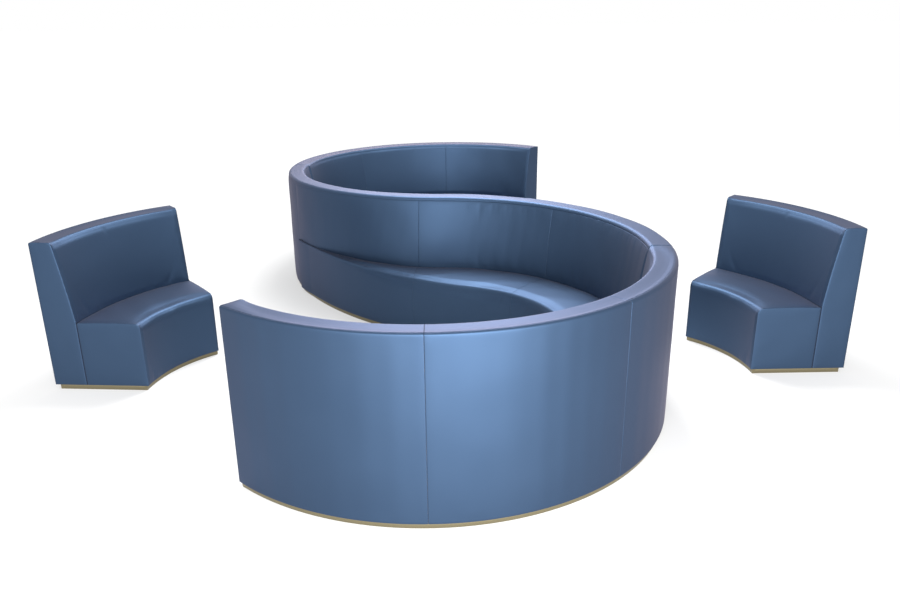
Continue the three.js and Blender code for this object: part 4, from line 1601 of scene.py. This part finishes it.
for body, lines in seam_lines.items():
    vertices = np.concatenate(lines)
    starts = np.cumsum([0] + [len(line) for line in lines])
    edges = [(i, i + 1) for start, end in zip(starts, starts[1:]) for i in range(start, end - 1)]
    mesh = bpy.data.meshes.new(f"{body}_seams")
    mesh.from_pydata(vertices.tolist(), edges, [])
    stitches = made_by_tree(f"{body}_stitches", mesh, stitch_tree, {
        "Pitch": stitch_pitch, "Stitch": (stitch_thick, stitch_thick, stitch_length),
        "Finish": thread})
    stitches.data.polygons.foreach_set("use_smooth", np.ones(len(stitches.data.polygons), bool))
    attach(stitches, body)

# Studio: a white floor that keeps the object's shadow, a white world, four plain soft lamps
# and a camera where the photographer stood.
floor_size = 400.0
near_glow = 0.48
far_glow = 0.74
near_reach = 1.8
far_reach = 6.0
photo_width = 900
sensor_width = 36.0
focal_length = 778.94
camera_place = (0.1342, -5.6784, 2.166)
camera_turn = math.atan2(-0.0340, 0.9994)
camera_pitch = math.radians(19.64)
camera_roll = -0.0115


def seen_rays(tree):
    """1 for the camera's own rays and those that gloss and glass send on, 0 for the rest."""
    ray = tree.nodes.new("ShaderNodeLightPath")
    seen = ray.outputs["Is Camera Ray"]
    for kind in ("Is Glossy Ray", "Is Transmission Ray"):
        either = tree.nodes.new("ShaderNodeMath")
        either.operation = "MAXIMUM"
        set_inputs(either, {0: seen, 1: ray.outputs[kind]})
        seen = either.outputs[0]
    return seen


white, white_tree, white_shader = material_nodes("white_floor")
white_reach = white_tree.nodes.new("ShaderNodeVectorMath")
white_reach.operation = "LENGTH"
set_inputs(white_reach, {0: object_place(white_tree)})
white_level = white_tree.nodes.new("ShaderNodeMapRange")
set_inputs(white_level, {"From Min": near_reach, "From Max": far_reach, "To Min": near_glow,
                         "To Max": far_glow, "Value": white_reach.outputs["Value"]})
white_glow = white_tree.nodes.new("ShaderNodeMath")
white_glow.operation = "MULTIPLY"
set_inputs(white_glow, {0: seen_rays(white_tree), 1: white_level.outputs["Result"]})
set_inputs(white_shader, {
    "Base Color": (0.42, 0.42, 0.42, 1),
    "Roughness": 0.9,
    "Specular IOR Level": 0.0,
    "Emission Color": (1, 1, 1, 1),
    "Emission Strength": white_glow.outputs[0],
})
floor_mesh = bpy.data.meshes.new("floor")
floor_mesh.from_pydata([(-floor_size, -floor_size, 0), (floor_size, -floor_size, 0),
                        (floor_size, floor_size, 0), (-floor_size, floor_size, 0)], [],
                       [(0, 1, 2, 3)])
floor_mesh.materials.append(white)
floor = bpy.data.objects.new("floor", floor_mesh)
bpy.context.scene.collection.objects.link(floor)

world = bpy.data.worlds.new("studio")
world.use_nodes = True
bpy.context.scene.world = world
world_tree = world.node_tree
world_soft = world_tree.nodes["Background"]
set_inputs(world_soft, {"Color": (1.0, 1.0, 1.0, 1), "Strength": 0.66})
world_white = world_tree.nodes.new("ShaderNodeBackground")
set_inputs(world_white, {"Color": (1.0, 1.0, 1.0, 1), "Strength": 1.0})
world_mix = world_tree.nodes.new("ShaderNodeMixShader")
world_tree.links.new(seen_rays(world_tree), world_mix.inputs[0])
wire(
    world_tree,
    ((world_soft, 0), (world_mix, 1)),
    ((world_white, 0), (world_mix, 2)),
    ((world_mix, 0), (world_tree.nodes["World Output"], 0)),
)


def lamp(name, place, target, size, power, spread=180):
    data = bpy.data.lights.new(name, "AREA")
    data.shape = "RECTANGLE"
    data.size, data.size_y = size
    data.energy = power
    data.spread = math.radians(spread)
    light = bpy.data.objects.new(name, data)
    light.location = place
    heading = Vector(target) - Vector(place)
    light.rotation_euler = heading.to_track_quat("-Z", "Y").to_euler()
    light.visible_camera = False
    bpy.context.scene.collection.objects.link(light)


lamp("key", (-0.1, -9.0, 2.6), (0.1, -1.5, 0.5), (6.5, 1.8), 630)
lamp("near", (0.95, -5.1, 0.95), (0.2, -2.7, 0.5), (1.9, 0.8), 150)
lamp("top", (0.0, 1.5, 3.8), (0.0, -0.6, 0.4), (2.2, 2.4), 190, 130)
lamp("behind", (-0.6, 7.5, 3.2), (0.0, 0.0, 0.8), (4.5, 1.6), 180)

camera_data = bpy.data.cameras.new("camera")
camera_data.sensor_width = sensor_width
camera_data.lens = sensor_width * focal_length / photo_width
camera = bpy.data.objects.new("camera", camera_data)
looking = Vector((math.sin(camera_turn) * math.cos(camera_pitch),
                  math.cos(camera_turn) * math.cos(camera_pitch), -math.sin(camera_pitch)))
camera.rotation_mode = "QUATERNION"
aim = looking.to_track_quat("-Z", "Y").to_matrix().to_4x4()
aim = aim @ Matrix.Rotation(camera_roll, 4, "Z")
aim.translation = Vector(camera_place)
camera.matrix_world = aim
bpy.context.scene.collection.objects.link(camera)
bpy.context.scene.camera = camera
bpy.context.scene.view_settings.view_transform = "Standard"
